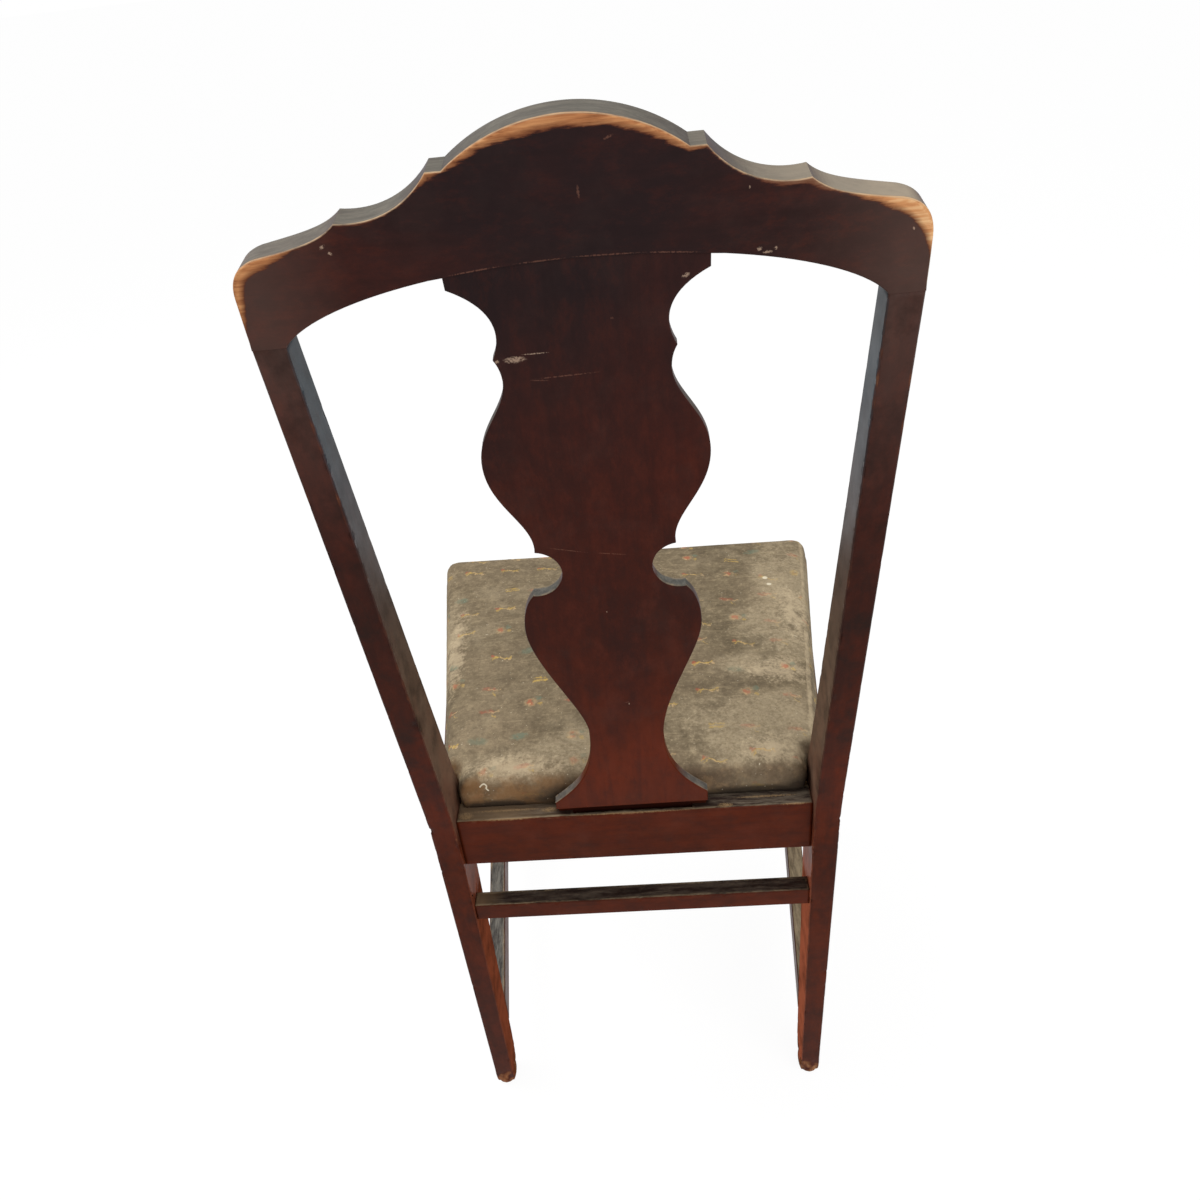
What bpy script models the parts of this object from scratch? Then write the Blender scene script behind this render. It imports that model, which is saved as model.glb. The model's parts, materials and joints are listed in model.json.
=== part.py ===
"""Dining side chair in the Queen Anne style: raked back, vase splat, arched crest, padded seat.

Metres, +Z up. The sitter faces -Y and +X is the sitter's left. While the pieces are drawn,
Y = 0 is the back face of the rear posts at the seat; at the end the whole chair moves so that
the origin lies on the floor under the middle of its box.
"""
import math

import bmesh
import bpy
from mathutils import Matrix, Vector
from mathutils.geometry import interpolate_bezier

# Fits
GAP = 0.0003            # clearance left between two pieces that touch
ARRIS = 0.0010          # eased edge of the square members

# Rear posts: half spacing of the inner faces, widths and depths, from foot to crest
POST_INNER_FOOT = 0.1653
POST_INNER_SEAT = 0.1668
POST_INNER_TOP = 0.1797
POST_WIDTH_FOOT = 0.0193
POST_WIDTH_SEAT = 0.0237
POST_WIDTH_TOP = 0.0216
POST_DEPTH_FOOT = 0.0331
POST_DEPTH_SEAT = 0.0512
BACK_THICK = 0.0255     # crest, and the posts where they meet it
POST_TOP = 0.9110       # height of the crest joint on the back face
BACK_RAKE = math.radians(8.35)
LEG_RAKE = math.radians(0.45)
BEND_HEIGHT = 0.4075    # where the two rakes of the post's back face meet
BEND_REACH = 0.045      # length of the curve to each side of that height
FOOT_EASE = 0.0050      # rounding of the rear feet

# Seat frame
RAIL_TOP = 0.4214
RAIL_HEIGHT = 0.0580
REAR_RAIL_INSET = 0.0069
REAR_RAIL_THICK = 0.0250
SIDE_RAIL_THICK = 0.0200
SIDE_RAIL_POST_INSET = 0.0050    # outer face of the side rail inside that of the post
SIDE_RAIL_LEG_INSET = 0.0030     # and inside that of the front leg's block
FRONT_RAIL_THICK = 0.0220
FRONT_RAIL_INSET = 0.0030

# Front legs: square block at the rails, cabriole below
LEG_OUTER = 0.2215      # half distance between the outer faces of the blocks
LEG_FRONT = 0.4250      # front face of the blocks before the posts' back face
LEG_BLOCK = 0.0420
LEG_ARRIS = 0.0015
KNEE_DROP = 0.0420      # fullest place of the knee below the rails
KNEE_OUT = 0.0350       # outer faces there from the block's centre line
KNEE_RADIUS = 0.0120
SHIN_HEIGHT = 0.2150
SHIN_IN = 0.0105
SHIN_OUT = 0.0225
SHIN_RADIUS = 0.0105
ANKLE_HALF = 0.0135
ANKLE_SHIFT = 0.0035    # ankle's centre outside the block's centre line
ANKLE_RADIUS = 0.0068
FOOT_HALF = 0.0265      # round pad foot
FOOT_SHIFT = 0.0110
FOOT_HEIGHT = 0.0130    # height of its widest ring
FOOT_NECK_HEIGHT = 0.0440
SOLE_HALF = 0.0220
SOLE_HEIGHT = 0.0030

# Stretchers
REAR_STRETCHER_TOP = 0.3077
REAR_STRETCHER_HEIGHT = 0.0200
REAR_STRETCHER_THICK = 0.0188
REAR_STRETCHER_INSET = 0.0030
SIDE_STRETCHER_TOP = 0.1075
SIDE_STRETCHER_HEIGHT = 0.0350
SIDE_STRETCHER_THICK = 0.0190
TENON_LENGTH = 0.0110
TENON_SHOULDER = 0.0045

# Crest: half outline, heights from the joint with the posts
ARCH_HALF = 0.0670
ARCH_TOP = 0.1150
ARCH_FOOT = 0.0925
STEP_WIDTH = 0.0090
HOLLOW_SAG = 0.0082     # depth of the hollow between step and cusp
CUSP_X = 0.1323
CUSP_HEIGHT = 0.0702
SHOULDER_IN = 0.0183    # length of the rounded shoulder along the top
SHOULDER_HEIGHT = 0.0542
SHOULDER_START = 0.0313
SHOULDER_FULLNESS = 0.61    # 0.45 is about a quarter circle, more is squarer
SWEEP_RISE = 0.0046     # lift of the sweep as it leaves the shoulder
SWEEP_DIP = 0.0091      # hollow of the sweep below the cusp
UNDER_CROWN = 0.0387    # rise of the arched underside
UNDER_SPREAD = 0.0058   # the underside's half ellipse is this much wider than the posts' spacing
CREST_ARRIS = 0.0016

# Splat
SPLAT_THICK = 0.0095
SPLAT_FOOT_HALF = 0.0704
SPLAT_HEAD_HALF = 0.0775
SPLAT_SETBACK = 0.0040  # back face of its foot before that of the rear rail
SPLAT_FLUSH = 0.0010    # back face of its head before that of the crest
SPLAT_ARRIS = 0.0012
SPLAT_HEAD_BLOCK = 0.0084    # straight sides of its head below the crest
SPLAT_TENON_DEPTH = 0.0120
SPLAT_TENON_SHOULDER = 0.0150

# Corner blocks and screws
BLOCK_LENGTH = 0.0750
FRONT_BLOCK_LENGTH = 0.0600
BLOCK_HEIGHT = 0.0300
BLOCK_DROP = 0.0040     # top of the blocks below that of the rails
BLOCK_SCREW = 0.0500    # from the corner to the screw into a rail
FRONT_BLOCK_SCREW = 0.0320
SEAT_SCREW = 0.0200     # from the corner to the screw into the seat
FRONT_SEAT_SCREW = 0.0120
SCREW_GRIP = 0.0180     # from under the head to the rail
SCREW_LENGTH = 0.0310
SCREW_RADIUS = 0.0021
SCREW_HEAD_RADIUS = 0.0042
SCREW_HEAD_HEIGHT = 0.0026
SEAT_SCREW_COVER = 0.0020    # left of the seat board above the screw's tip

# Dowels
DOWEL_RADIUS = 0.0040
DOWEL_HALF = 0.0170
DOWEL_SPREAD = 0.0150   # from the middle of a rail
CREST_DOWEL_RADIUS = 0.0048
ROUND_SIDES = 10

# Seat pad: plan from the posts and rails, heights from the rails
PAD_REAR = 0.0235            # rear edge before the posts' back face
PAD_TONGUE_GAP = 0.0022      # from the tongue to each post
PAD_NOTCH_GAP = 0.0030       # from the body to the front of the posts
PAD_FRONT_OVERHANG = 0.0050
PAD_FRONT_BOW = 0.0030
PAD_REAR_INSET = 0.0055      # sides inside the side rails' outer faces at the posts
PAD_SIDE_OVERHANG = 0.0040   # sides outside them at the front legs
PAD_TONGUE_RADIUS = 0.0080
PAD_NOTCH_RADIUS = 0.0040
PAD_CORNER_RADIUS = 0.0180
PAD_EDGE_HEIGHT = 0.0322     # upper edge above the rails at the rear
PAD_FRONT_RISE = 0.0060      # more at the front
PAD_CROWN = 0.0090           # rise of the middle above the edges
PAD_DRAWN_IN = 0.0035        # how far the sides draw in at the bottom
PAD_ROUND = 0.0075           # how far the upper edge lies inside the fullest line of the sides
BOARD_THICK = 0.0090
COVER_THICK = 0.0012
COVER_HEM = 0.0160

# Derived places
RAIL_BOTTOM = RAIL_TOP - RAIL_HEIGHT
RAIL_MIDDLE = RAIL_TOP - RAIL_HEIGHT / 2
LEG_HALF = LEG_BLOCK / 2
LEG_X = LEG_OUTER - LEG_HALF
LEG_Y = LEG_HALF - LEG_FRONT
BLOCK_TOP = RAIL_TOP - BLOCK_DROP
BLOCK_MIDDLE = BLOCK_TOP - BLOCK_HEIGHT / 2
COVER_BOTTOM = RAIL_TOP + GAP
BOARD_BOTTOM = COVER_BOTTOM + COVER_THICK + GAP
PAD_EDGE = RAIL_TOP + PAD_EDGE_HEIGHT
PAD_FRONT = LEG_FRONT + PAD_FRONT_OVERHANG
POST_FRONT = -POST_DEPTH_SEAT
REAR_RAIL_BACK = -REAR_RAIL_INSET
REAR_RAIL_FRONT = REAR_RAIL_BACK - REAR_RAIL_THICK
FRONT_RAIL_FRONT = FRONT_RAIL_INSET - LEG_FRONT
FRONT_RAIL_BACK = FRONT_RAIL_FRONT + FRONT_RAIL_THICK
LEG_BACK = LEG_Y + LEG_HALF

cutters = {}


def both_sides():
    """Name and sign of X of the two halves; the sitter's left is +X."""
    yield "left", 1.0
    yield "right", -1.0


def mix(a, b, t):
    return a + (b - a) * t


def between(x, stations):
    """Straight-line interpolation in (place, value) pairs, carried on past both ends."""
    for (x0, v0), (x1, v1) in zip(stations, stations[1:]):
        if x <= x1:
            break
    return mix(v0, v1, (x - x0) / (x1 - x0))


def clear_scene():
    for item in list(bpy.data.objects):
        bpy.data.objects.remove(item, do_unlink=True)


def make_material(name, colour, roughness, metallic=0.0):
    material = bpy.data.materials.new(name)
    material.use_nodes = True
    shader = material.node_tree.nodes["Principled BSDF"]
    shader.inputs["Base Color"].default_value = (*colour, 1.0)
    shader.inputs["Roughness"].default_value = roughness
    shader.inputs["Metallic"].default_value = metallic
    return material


def add_object(name, mesh, material, matrix=None):
    """A piece of the chair, or a hidden cutter where there is no material."""
    item = bpy.data.objects.new(name, mesh)
    bpy.context.scene.collection.objects.link(item)
    item.parent = root
    if matrix:
        item.matrix_local = matrix
    if material:
        if not mesh.materials:
            mesh.materials.append(material)
        mesh.shade_smooth()
        mesh.set_sharp_from_angle(angle=math.radians(32))
    else:
        item.hide_render = True
        item.display_type = "WIRE"
    return item


def finish_mesh(name, bm):
    bmesh.ops.recalc_face_normals(bm, faces=bm.faces)
    mesh = bpy.data.meshes.new(name)
    bm.to_mesh(mesh)
    bm.free()
    return mesh


def add_rings(bm, rings, matrix=None):
    """A closed body through rings of equal length, capped at both ends."""
    place = matrix or Matrix()
    loops = [[bm.verts.new(place @ Vector(p)) for p in ring] for ring in rings]
    count = len(loops[0])
    for low, high in zip(loops, loops[1:]):
        for i in range(count):
            j = (i + 1) % count
            bm.faces.new((low[i], low[j], high[j], high[i]))
    bm.faces.new(loops[0])
    bm.faces.new(reversed(loops[-1]))


def ring_mesh(name, rings):
    bm = bmesh.new()
    add_rings(bm, rings)
    return finish_mesh(name, bm)


def cut(piece, rings, matrix=None):
    """Keep a body to be cut out of a piece."""
    bm = cutters.setdefault(piece, bmesh.new())
    add_rings(bm, rings, matrix)


def chamfered(corners, width):
    """A ring of four corners with each corner cut off."""
    points = []
    for i, corner in enumerate(corners):
        here = Vector(corner)
        for other in (corners[i - 1], corners[(i + 1) % 4]):
            points.append(here + (Vector(other) - here).normalized() * width)
    return points


def turned(profile, sides=ROUND_SIDES):
    """Rings of a turned body from (radius, height) pairs along local +Z."""
    turns = [2 * math.pi * (k + 0.5) / sides for k in range(sides)]
    return [[(r * math.cos(a), r * math.sin(a), h) for a in turns] for r, h in profile]


def aimed(start, direction):
    """A matrix that puts local +Z along a direction."""
    return Matrix.Translation(start) @ Vector(direction).to_track_quat("Z", "Y").to_matrix().to_4x4()


def arc_through(a, b, c, steps):
    """Points of the circle through a, b and c, from a up to but not including c."""
    (ax, ay), (bx, by), (cx, cy) = a, b, c
    d = 2 * (ax * (by - cy) + bx * (cy - ay) + cx * (ay - by))
    sa, sb, sc = ax * ax + ay * ay, bx * bx + by * by, cx * cx + cy * cy
    ox = (sa * (by - cy) + sb * (cy - ay) + sc * (ay - by)) / d
    oy = (sa * (cx - bx) + sb * (ax - cx) + sc * (bx - ax)) / d
    radius = math.hypot(ax - ox, ay - oy)
    start, middle, end = (math.atan2(y - oy, x - ox) for x, y in (a, b, c))
    turn = (end - start) % (2 * math.pi)
    if (middle - start) % (2 * math.pi) > turn:
        turn -= 2 * math.pi
    angles = [start + turn * k / steps for k in range(steps)]
    return [(ox + radius * math.cos(t), oy + radius * math.sin(t)) for t in angles]


def curve_to(a, handle_a, handle_b, b, steps):
    """Points of a Bezier stretch from a up to but not including b."""
    knots = [Vector((*p, 0.0)) for p in (a, handle_a, handle_b, b)]
    return [(p.x, p.y) for p in interpolate_bezier(*knots, steps + 1)[:-1]]


def drawn_in(outline, width):
    """A closed outline moved inwards, with mitred corners."""
    points = [Vector(p) for p in outline]
    area = sum(a.cross(b) for a, b in zip(points, points[1:] + points[:1]))
    turn = math.copysign(1.0, area)
    moved = []
    for k, here in enumerate(points):
        before = (here - points[k - 1]).normalized()
        after = (points[(k + 1) % len(points)] - here).normalized()
        normal = turn * Vector((-before.y - after.y, before.x + after.x))
        moved.append(here + normal * (width / (1 + max(before.dot(after), -0.4))))
    return moved


def plate_mesh(name, outline, thickness, arris):
    """An upright plate: outline in local X and Z, back face at Y = 0, front face at -thickness."""
    inner = drawn_in(outline, arris)
    layers = ((inner, 0.0), (outline, arris), (outline, thickness - arris), (inner, thickness))
    return ring_mesh(name, [[(x, -depth, z) for x, z in ring] for ring, depth in layers])


# Rear posts

def post_inner(z):
    return between(z, ((0.0, POST_INNER_FOOT), (RAIL_TOP, POST_INNER_SEAT), (POST_TOP, POST_INNER_TOP)))


def post_outer(z):
    widths = (
        (0.0, POST_WIDTH_FOOT), (RAIL_BOTTOM, POST_WIDTH_SEAT),
        (RAIL_TOP, POST_WIDTH_SEAT), (POST_TOP, POST_WIDTH_TOP),
    )
    return post_inner(z) + between(z, widths)


def back_y(z):
    """Back face of the posts: two rakes joined by a curve."""
    up, low = math.tan(BACK_RAKE), math.tan(LEG_RAKE)
    rise = z - BEND_HEIGHT
    if rise > BEND_REACH:
        return rise * up
    if rise < -BEND_REACH:
        return -rise * low
    return (up + low) / (4 * BEND_REACH) * (rise + BEND_REACH) ** 2 - low * rise


def front_y(z):
    """Front face of the posts below the top of the rails."""
    stations = ((0.0, back_y(0.0) - POST_DEPTH_FOOT), (RAIL_BOTTOM, POST_FRONT), (RAIL_TOP, POST_FRONT))
    return between(z, stations)


def crest_matrix():
    """Local frame of the crest: Z up the rake from the joint, Y towards the back."""
    return Matrix.Translation((0.0, back_y(POST_TOP), POST_TOP)) @ Matrix.Rotation(-BACK_RAKE, 4, "X")


def post_corners(side, back, front, inset=0.0):
    """Inner and outer corners of a section between a back and a front (y, z) point."""
    (yb, zb), (yf, zf) = back, front
    return [
        (side * (post_inner(zb) + inset), yb - inset, zb), (side * (post_outer(zb) - inset), yb - inset, zb),
        (side * (post_outer(zf) - inset), yf + inset, zf), (side * (post_inner(zf) + inset), yf + inset, zf),
    ]


def post_rings(side):
    sections = []
    for turn in (0.0, math.pi / 4, math.pi / 2):
        height, inset = FOOT_EASE * (1 - math.cos(turn)), FOOT_EASE * (1 - math.sin(turn))
        sections.append(post_corners(side, (back_y(height), height), (front_y(height), height), inset))
    bend = [BEND_HEIGHT + BEND_REACH * k for k in (-1.0, -0.5, 0.0, 0.5, 1.0)]
    for z in (*[z for z in bend if z < RAIL_TOP - ARRIS], RAIL_TOP):
        sections.append(post_corners(side, (back_y(z), z), (front_y(z), z)))
    top_back = crest_matrix() @ Vector((0.0, 0.0, -GAP))
    top_front = crest_matrix() @ Vector((0.0, -BACK_THICK, -GAP))
    for z in (*[z for z in bend if z > RAIL_TOP + ARRIS], top_back.z):
        share = (z - RAIL_TOP) / (top_back.z - RAIL_TOP)
        front = (mix(POST_FRONT, top_front.y, share), mix(RAIL_TOP, top_front.z, share))
        sections.append(post_corners(side, (back_y(z), z), front))
    return [chamfered(corners, ARRIS) for corners in sections]


def build_posts():
    for name, side in both_sides():
        add_object(f"rear_post_{name}", ring_mesh("rear_post", post_rings(side)), mahogany)


# Crest and splat

def under_height(x):
    """Arched underside of the crest above the joint, as a half ellipse."""
    reach = POST_INNER_TOP + UNDER_SPREAD
    full = UNDER_CROWN / (1 - math.sqrt(1 - (POST_INNER_TOP / reach) ** 2))
    return UNDER_CROWN - full * (1 - math.sqrt(max(0.0, 1 - (x / reach) ** 2)))


def crest_half():
    """Half outline from the joint's outer end up to the arch's crown."""
    outer = post_outer(POST_TOP)
    shoulder = (outer - SHOULDER_IN, SHOULDER_HEIGHT)
    cusp = (CUSP_X, CUSP_HEIGHT)
    step = (ARCH_HALF + STEP_WIDTH, ARCH_FOOT)
    turn = (SHOULDER_HEIGHT - SHOULDER_START) * SHOULDER_FULLNESS
    run = shoulder[0] - cusp[0]
    chord = Vector(step) - Vector(cusp)
    hollow = (Vector(step) + Vector(cusp)) / 2 + Vector((-chord.y, chord.x)).normalized() * HOLLOW_SAG
    points = [(outer, 0.0)]
    points += curve_to(
        (outer, SHOULDER_START), (outer, SHOULDER_START + turn),
        (outer - SHOULDER_IN * (1 - SHOULDER_FULLNESS), SHOULDER_HEIGHT - turn / 5), shoulder, 6)
    points += curve_to(
        shoulder, (cusp[0] + run / 2, SHOULDER_HEIGHT + SWEEP_RISE),
        (cusp[0] + run / 5, cusp[1] - SWEEP_DIP), cusp, 6)
    points += arc_through(cusp, tuple(hollow), step, 8)
    points.append(step)
    points += arc_through((ARCH_HALF, ARCH_FOOT), (0.0, ARCH_TOP), (-ARCH_HALF, ARCH_FOOT), 16)[:8]
    return points


def splat_shoulder(half_width):
    """Places across the splat's shoulder, from its side to its tenon."""
    return [half_width - SPLAT_TENON_SHOULDER * share for share in (0.0, 0.5, 1.0)]


def crest_outline():
    half = crest_half()
    clear = [mix(SPLAT_HEAD_HALF, POST_INNER_TOP, math.sin(math.pi / 2 * k / 8)) for k in range(1, 9)]
    edge = [0.0, *reversed(splat_shoulder(SPLAT_HEAD_HALF)), *clear]
    under = [(x, under_height(x)) for x in edge]
    mirrored = [(-x, z) for x, z in reversed(under[1:])]
    return [*half, (0.0, ARCH_TOP), *[(-x, z) for x, z in reversed(half)], *mirrored, *under]


def build_crest():
    mesh = plate_mesh("crest_rail", crest_outline(), BACK_THICK, CREST_ARRIS)
    add_object("crest_rail", mesh, mahogany, crest_matrix())


def splat_matrix():
    """Local frame of the splat: Z up its middle line from the rail, Y towards the back."""
    foot = Vector((0.0, REAR_RAIL_BACK - SPLAT_SETBACK, RAIL_TOP))
    head = crest_matrix() @ Vector((0.0, -SPLAT_FLUSH, UNDER_CROWN))
    lean = math.atan2(head.y - foot.y, head.z - foot.z)
    return Matrix.Translation(foot) @ Matrix.Rotation(-lean, 4, "X")


def splat_head(x):
    """Height in the splat's frame at which it meets the arched underside of the crest."""
    middle = Vector((x, -SPLAT_FLUSH - SPLAT_THICK / 2, under_height(x)))
    return (splat_matrix().inverted() @ crest_matrix() @ middle).z


def splat_half(corner):
    """Half outline of the double vase from the foot's corner up to the height of the head's corner."""
    drawn_half, drawn_corner = 0.0775, 0.5225

    def at(x, z):
        return (x * SPLAT_HEAD_HALF / drawn_half, z * corner / drawn_corner)

    flare = (SPLAT_FOOT_HALF, at(0, 0.0232)[1])
    neck, vase = at(0.0327, 0.1017), at(0.0682, 0.2400)
    lip, waist, collar = at(0.0568, 0.2780), at(0.0333, 0.2970), at(0.0510, 0.3191)
    urn, notch, cusp = at(0.0764, 0.3960), at(0.0529, 0.4600), at(0.0568, 0.4748)
    head = at(drawn_half, drawn_corner)
    points = [flare]
    points += curve_to(flare, at(0.0540, 0.0380), at(0.0330, 0.0700), neck, 8)[1:]
    points += curve_to(neck, at(0.0324, 0.1400), at(0.0682, 0.1900), vase, 10)
    points += curve_to(vase, at(0.0682, 0.2560), at(0.0640, 0.2700), lip, 5)
    points += arc_through(lip, waist, collar, 10)
    points += curve_to(collar, at(0.0475, 0.3450), at(0.0764, 0.3620), urn, 10)
    points += curve_to(urn, at(0.0764, 0.4250), at(0.0535, 0.4380), notch, 8)
    points += curve_to(notch, at(0.0530, 0.4660), at(0.0545, 0.4710), cusp, 2)
    points += curve_to(cusp, at(0.0485, 0.4910), at(0.0500, 0.5090), head, 8)
    points.append(head)
    return points


def splat_outline():
    half = splat_half(splat_head(SPLAT_HEAD_HALF) - SPLAT_HEAD_BLOCK)
    tip = splat_head(0.0) + SPLAT_TENON_DEPTH
    foot = splat_shoulder(SPLAT_FOOT_HALF)
    head = splat_shoulder(SPLAT_HEAD_HALF)
    low = [(foot[-1], -SPLAT_TENON_DEPTH), (foot[-1], GAP), (foot[0], GAP)]
    high = [(x, splat_head(x) - GAP) for x in head]
    side = [*low, *half, *high, (head[-1], tip)]
    return [*side, *[(-x, z) for x, z in reversed(side)]]


def build_splat():
    mesh = plate_mesh("splat", splat_outline(), SPLAT_THICK, SPLAT_ARRIS)
    place = splat_matrix()
    add_object("splat", mesh, mahogany, place)
    head = splat_head(0.0)
    for piece, width, low, high in (
        ("rear_seat_rail", SPLAT_FOOT_HALF, -SPLAT_TENON_DEPTH - GAP, SPLAT_TENON_DEPTH),
        ("crest_rail", SPLAT_HEAD_HALF, head - UNDER_CROWN, head + SPLAT_TENON_DEPTH + GAP),
    ):
        reach = width - SPLAT_TENON_SHOULDER + GAP
        ring = [(-reach, GAP), (reach, GAP), (reach, -SPLAT_THICK - GAP), (-reach, -SPLAT_THICK - GAP)]
        cut(piece, [[(x, y, z) for x, y in ring] for z in (low, high)], place)


# Seat rails

def side_rail_outer(y):
    """Half distance of the side rails' outer faces at a place between post and leg."""
    post = post_outer(RAIL_TOP) - SIDE_RAIL_POST_INSET
    return between(y, ((LEG_BACK, LEG_OUTER - SIDE_RAIL_LEG_INSET), (POST_FRONT, post)))


def side_rail_inner(y):
    return side_rail_outer(y) - SIDE_RAIL_THICK


def cross_rail_rings(back, front, end_x):
    """A rail across the chair whose ends follow a half width given by height."""
    rings = []
    for side in (-1.0, 1.0):
        section = [(back, RAIL_BOTTOM), (back, RAIL_TOP), (front, RAIL_TOP), (front, RAIL_BOTTOM)]
        rings.append(chamfered([(side * end_x(z), y, z) for y, z in section], ARRIS))
    return rings


def build_rails():
    rings = cross_rail_rings(REAR_RAIL_BACK, REAR_RAIL_FRONT, lambda z: post_inner(z) - GAP)
    add_object("rear_seat_rail", ring_mesh("rear_seat_rail", rings), mahogany)
    rings = cross_rail_rings(FRONT_RAIL_BACK, FRONT_RAIL_FRONT, lambda z: LEG_X - LEG_HALF - GAP)
    add_object("front_seat_rail", ring_mesh("front_seat_rail", rings), mahogany)
    for name, side in both_sides():
        rings = []
        for y in (POST_FRONT - GAP, LEG_BACK + GAP):
            outer, inner = side * side_rail_outer(y), side * side_rail_inner(y)
            section = [(outer, RAIL_BOTTOM), (outer, RAIL_TOP), (inner, RAIL_TOP), (inner, RAIL_BOTTOM)]
            rings.append(chamfered([(x, y, z) for x, z in section], ARRIS))
        add_object(f"side_seat_rail_{name}", ring_mesh("side_seat_rail", rings), mahogany)


# Front legs

def leg_stations():
    """(height, inner, outer, corner radius) down a front leg, from the block's centre line."""
    ankle_top = SIDE_STRETCHER_TOP + TENON_SHOULDER
    ankle_low = SIDE_STRETCHER_TOP - SIDE_STRETCHER_HEIGHT - TENON_SHOULDER
    ankle_in, ankle_out = ANKLE_HALF - ANKLE_SHIFT, ANKLE_HALF + ANKLE_SHIFT
    foot_in, foot_out = FOOT_HALF - FOOT_SHIFT, FOOT_HALF + FOOT_SHIFT
    sole_in, sole_out = SOLE_HALF - FOOT_SHIFT, SOLE_HALF + FOOT_SHIFT
    knee = RAIL_BOTTOM - KNEE_DROP
    return [
        (RAIL_BOTTOM, LEG_HALF, LEG_HALF, LEG_ARRIS),
        (knee, LEG_HALF, KNEE_OUT, KNEE_RADIUS),
        (SHIN_HEIGHT, SHIN_IN, SHIN_OUT, SHIN_RADIUS),
        (ankle_top, ankle_in, ankle_out, ANKLE_RADIUS),
        (ankle_low, ankle_in, ankle_out, ANKLE_RADIUS),
        (FOOT_NECK_HEIGHT, ankle_in, mix(ankle_out, foot_out, 0.2), ANKLE_HALF),
        (FOOT_HEIGHT, foot_in, foot_out, FOOT_HALF),
        (SOLE_HEIGHT, mix(sole_in, foot_in, 0.6), mix(sole_out, foot_out, 0.6), FOOT_HALF),
        (SOLE_HEIGHT * 0.8, sole_in, sole_out, SOLE_HALF),
        (0.0, sole_in, sole_out, SOLE_HALF),
    ]


def smooth_through(stations, steps):
    """A Catmull-Rom curve through tuples, without overshoot in the first value."""
    points = []
    last = len(stations) - 1
    for k in range(last):
        a, b = stations[k], stations[k + 1]
        before, after = stations[max(k - 1, 0)], stations[min(k + 2, last)]
        for i in range(steps):
            t = i / steps
            point = [mix(a[0], b[0], t)]
            for c in range(1, len(a)):
                run = b[0] - a[0]
                slope_a = 0.0 if k == 0 else (b[c] - before[c]) / (b[0] - before[0]) * run
                slope_b = 0.0 if k == last - 1 else (after[c] - a[c]) / (after[0] - a[0]) * run
                if (b[c] - a[c]) * (a[c] - before[c]) <= 0:
                    slope_a = 0.0
                if (b[c] - a[c]) * (after[c] - b[c]) <= 0:
                    slope_b = 0.0
                h1, h2 = t * t * (3 - 2 * t), t * (1 - t) ** 2
                h3 = t * t * (t - 1)
                point.append(a[c] * (1 - h1) + b[c] * h1 + slope_a * h2 + slope_b * h3)
            points.append(tuple(point))
    points.append(stations[-1])
    return points


def leg_section(side, height, inner, outer, radius):
    """A square with round corners, standing out along the diagonal of the seat's corner."""
    half = (inner + outer) / 2
    shift = (outer - inner) / 2
    centre = Vector((side * (LEG_X + shift), LEG_Y - shift, height))
    radius = min(radius, half * 0.999)
    ring = []
    for quarter in range(4):
        for k in range(4):
            angle = math.pi / 2 * (quarter + k / 3)
            sx, sy = (1, 1, -1, -1, 1)[quarter + 1], (1, 1, -1, -1)[quarter]
            corner = Vector((sx * (half - radius), sy * (half - radius), 0.0))
            ring.append(centre + corner + Vector((math.cos(angle), math.sin(angle), 0.0)) * radius)
    return ring


def build_front_legs():
    stations = smooth_through(leg_stations(), 4)
    for name, side in both_sides():
        rings = [leg_section(side, RAIL_TOP, LEG_HALF, LEG_HALF, LEG_ARRIS)]
        rings += [leg_section(side, *station) for station in stations]
        add_object(f"front_leg_{name}", ring_mesh("front_leg", rings), mahogany)


# Stretchers

def tenon_halves(thick, height):
    return thick / 2 - TENON_SHOULDER, height / 2 - TENON_SHOULDER


def build_rear_stretcher():
    low, high = REAR_STRETCHER_TOP - REAR_STRETCHER_HEIGHT, REAR_STRETCHER_TOP
    middle = (low + high) / 2
    back = back_y(middle) - REAR_STRETCHER_INSET
    centre_y = back - REAR_STRETCHER_THICK / 2
    half_y, half_z = tenon_halves(REAR_STRETCHER_THICK, REAR_STRETCHER_HEIGHT)

    def body(side):
        front = back - REAR_STRETCHER_THICK
        section = [(back, low), (back, high), (front, high), (front, low)]
        return chamfered([(side * (post_inner(z) - GAP), y, z) for y, z in section], ARRIS)

    def tenon(x, slack):
        hy, hz = half_y + slack, half_z + slack
        section = [(centre_y + hy, middle - hz), (centre_y + hy, middle + hz),
                   (centre_y - hy, middle + hz), (centre_y - hy, middle - hz)]
        return chamfered([(x, y, z) for y, z in section], ARRIS / 2)

    reach = post_inner(middle)
    rings = [tenon(-reach - TENON_LENGTH, 0.0), tenon(GAP - reach, 0.0), body(-1.0),
             body(1.0), tenon(reach - GAP, 0.0), tenon(reach + TENON_LENGTH, 0.0)]
    add_object("rear_stretcher", ring_mesh("rear_stretcher", rings), mahogany)
    for name, side in both_sides():
        ends = (side * (reach - TENON_LENGTH), side * (reach + TENON_LENGTH + GAP))
        cut(f"rear_post_{name}", [tenon(x, GAP) for x in ends])


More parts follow.
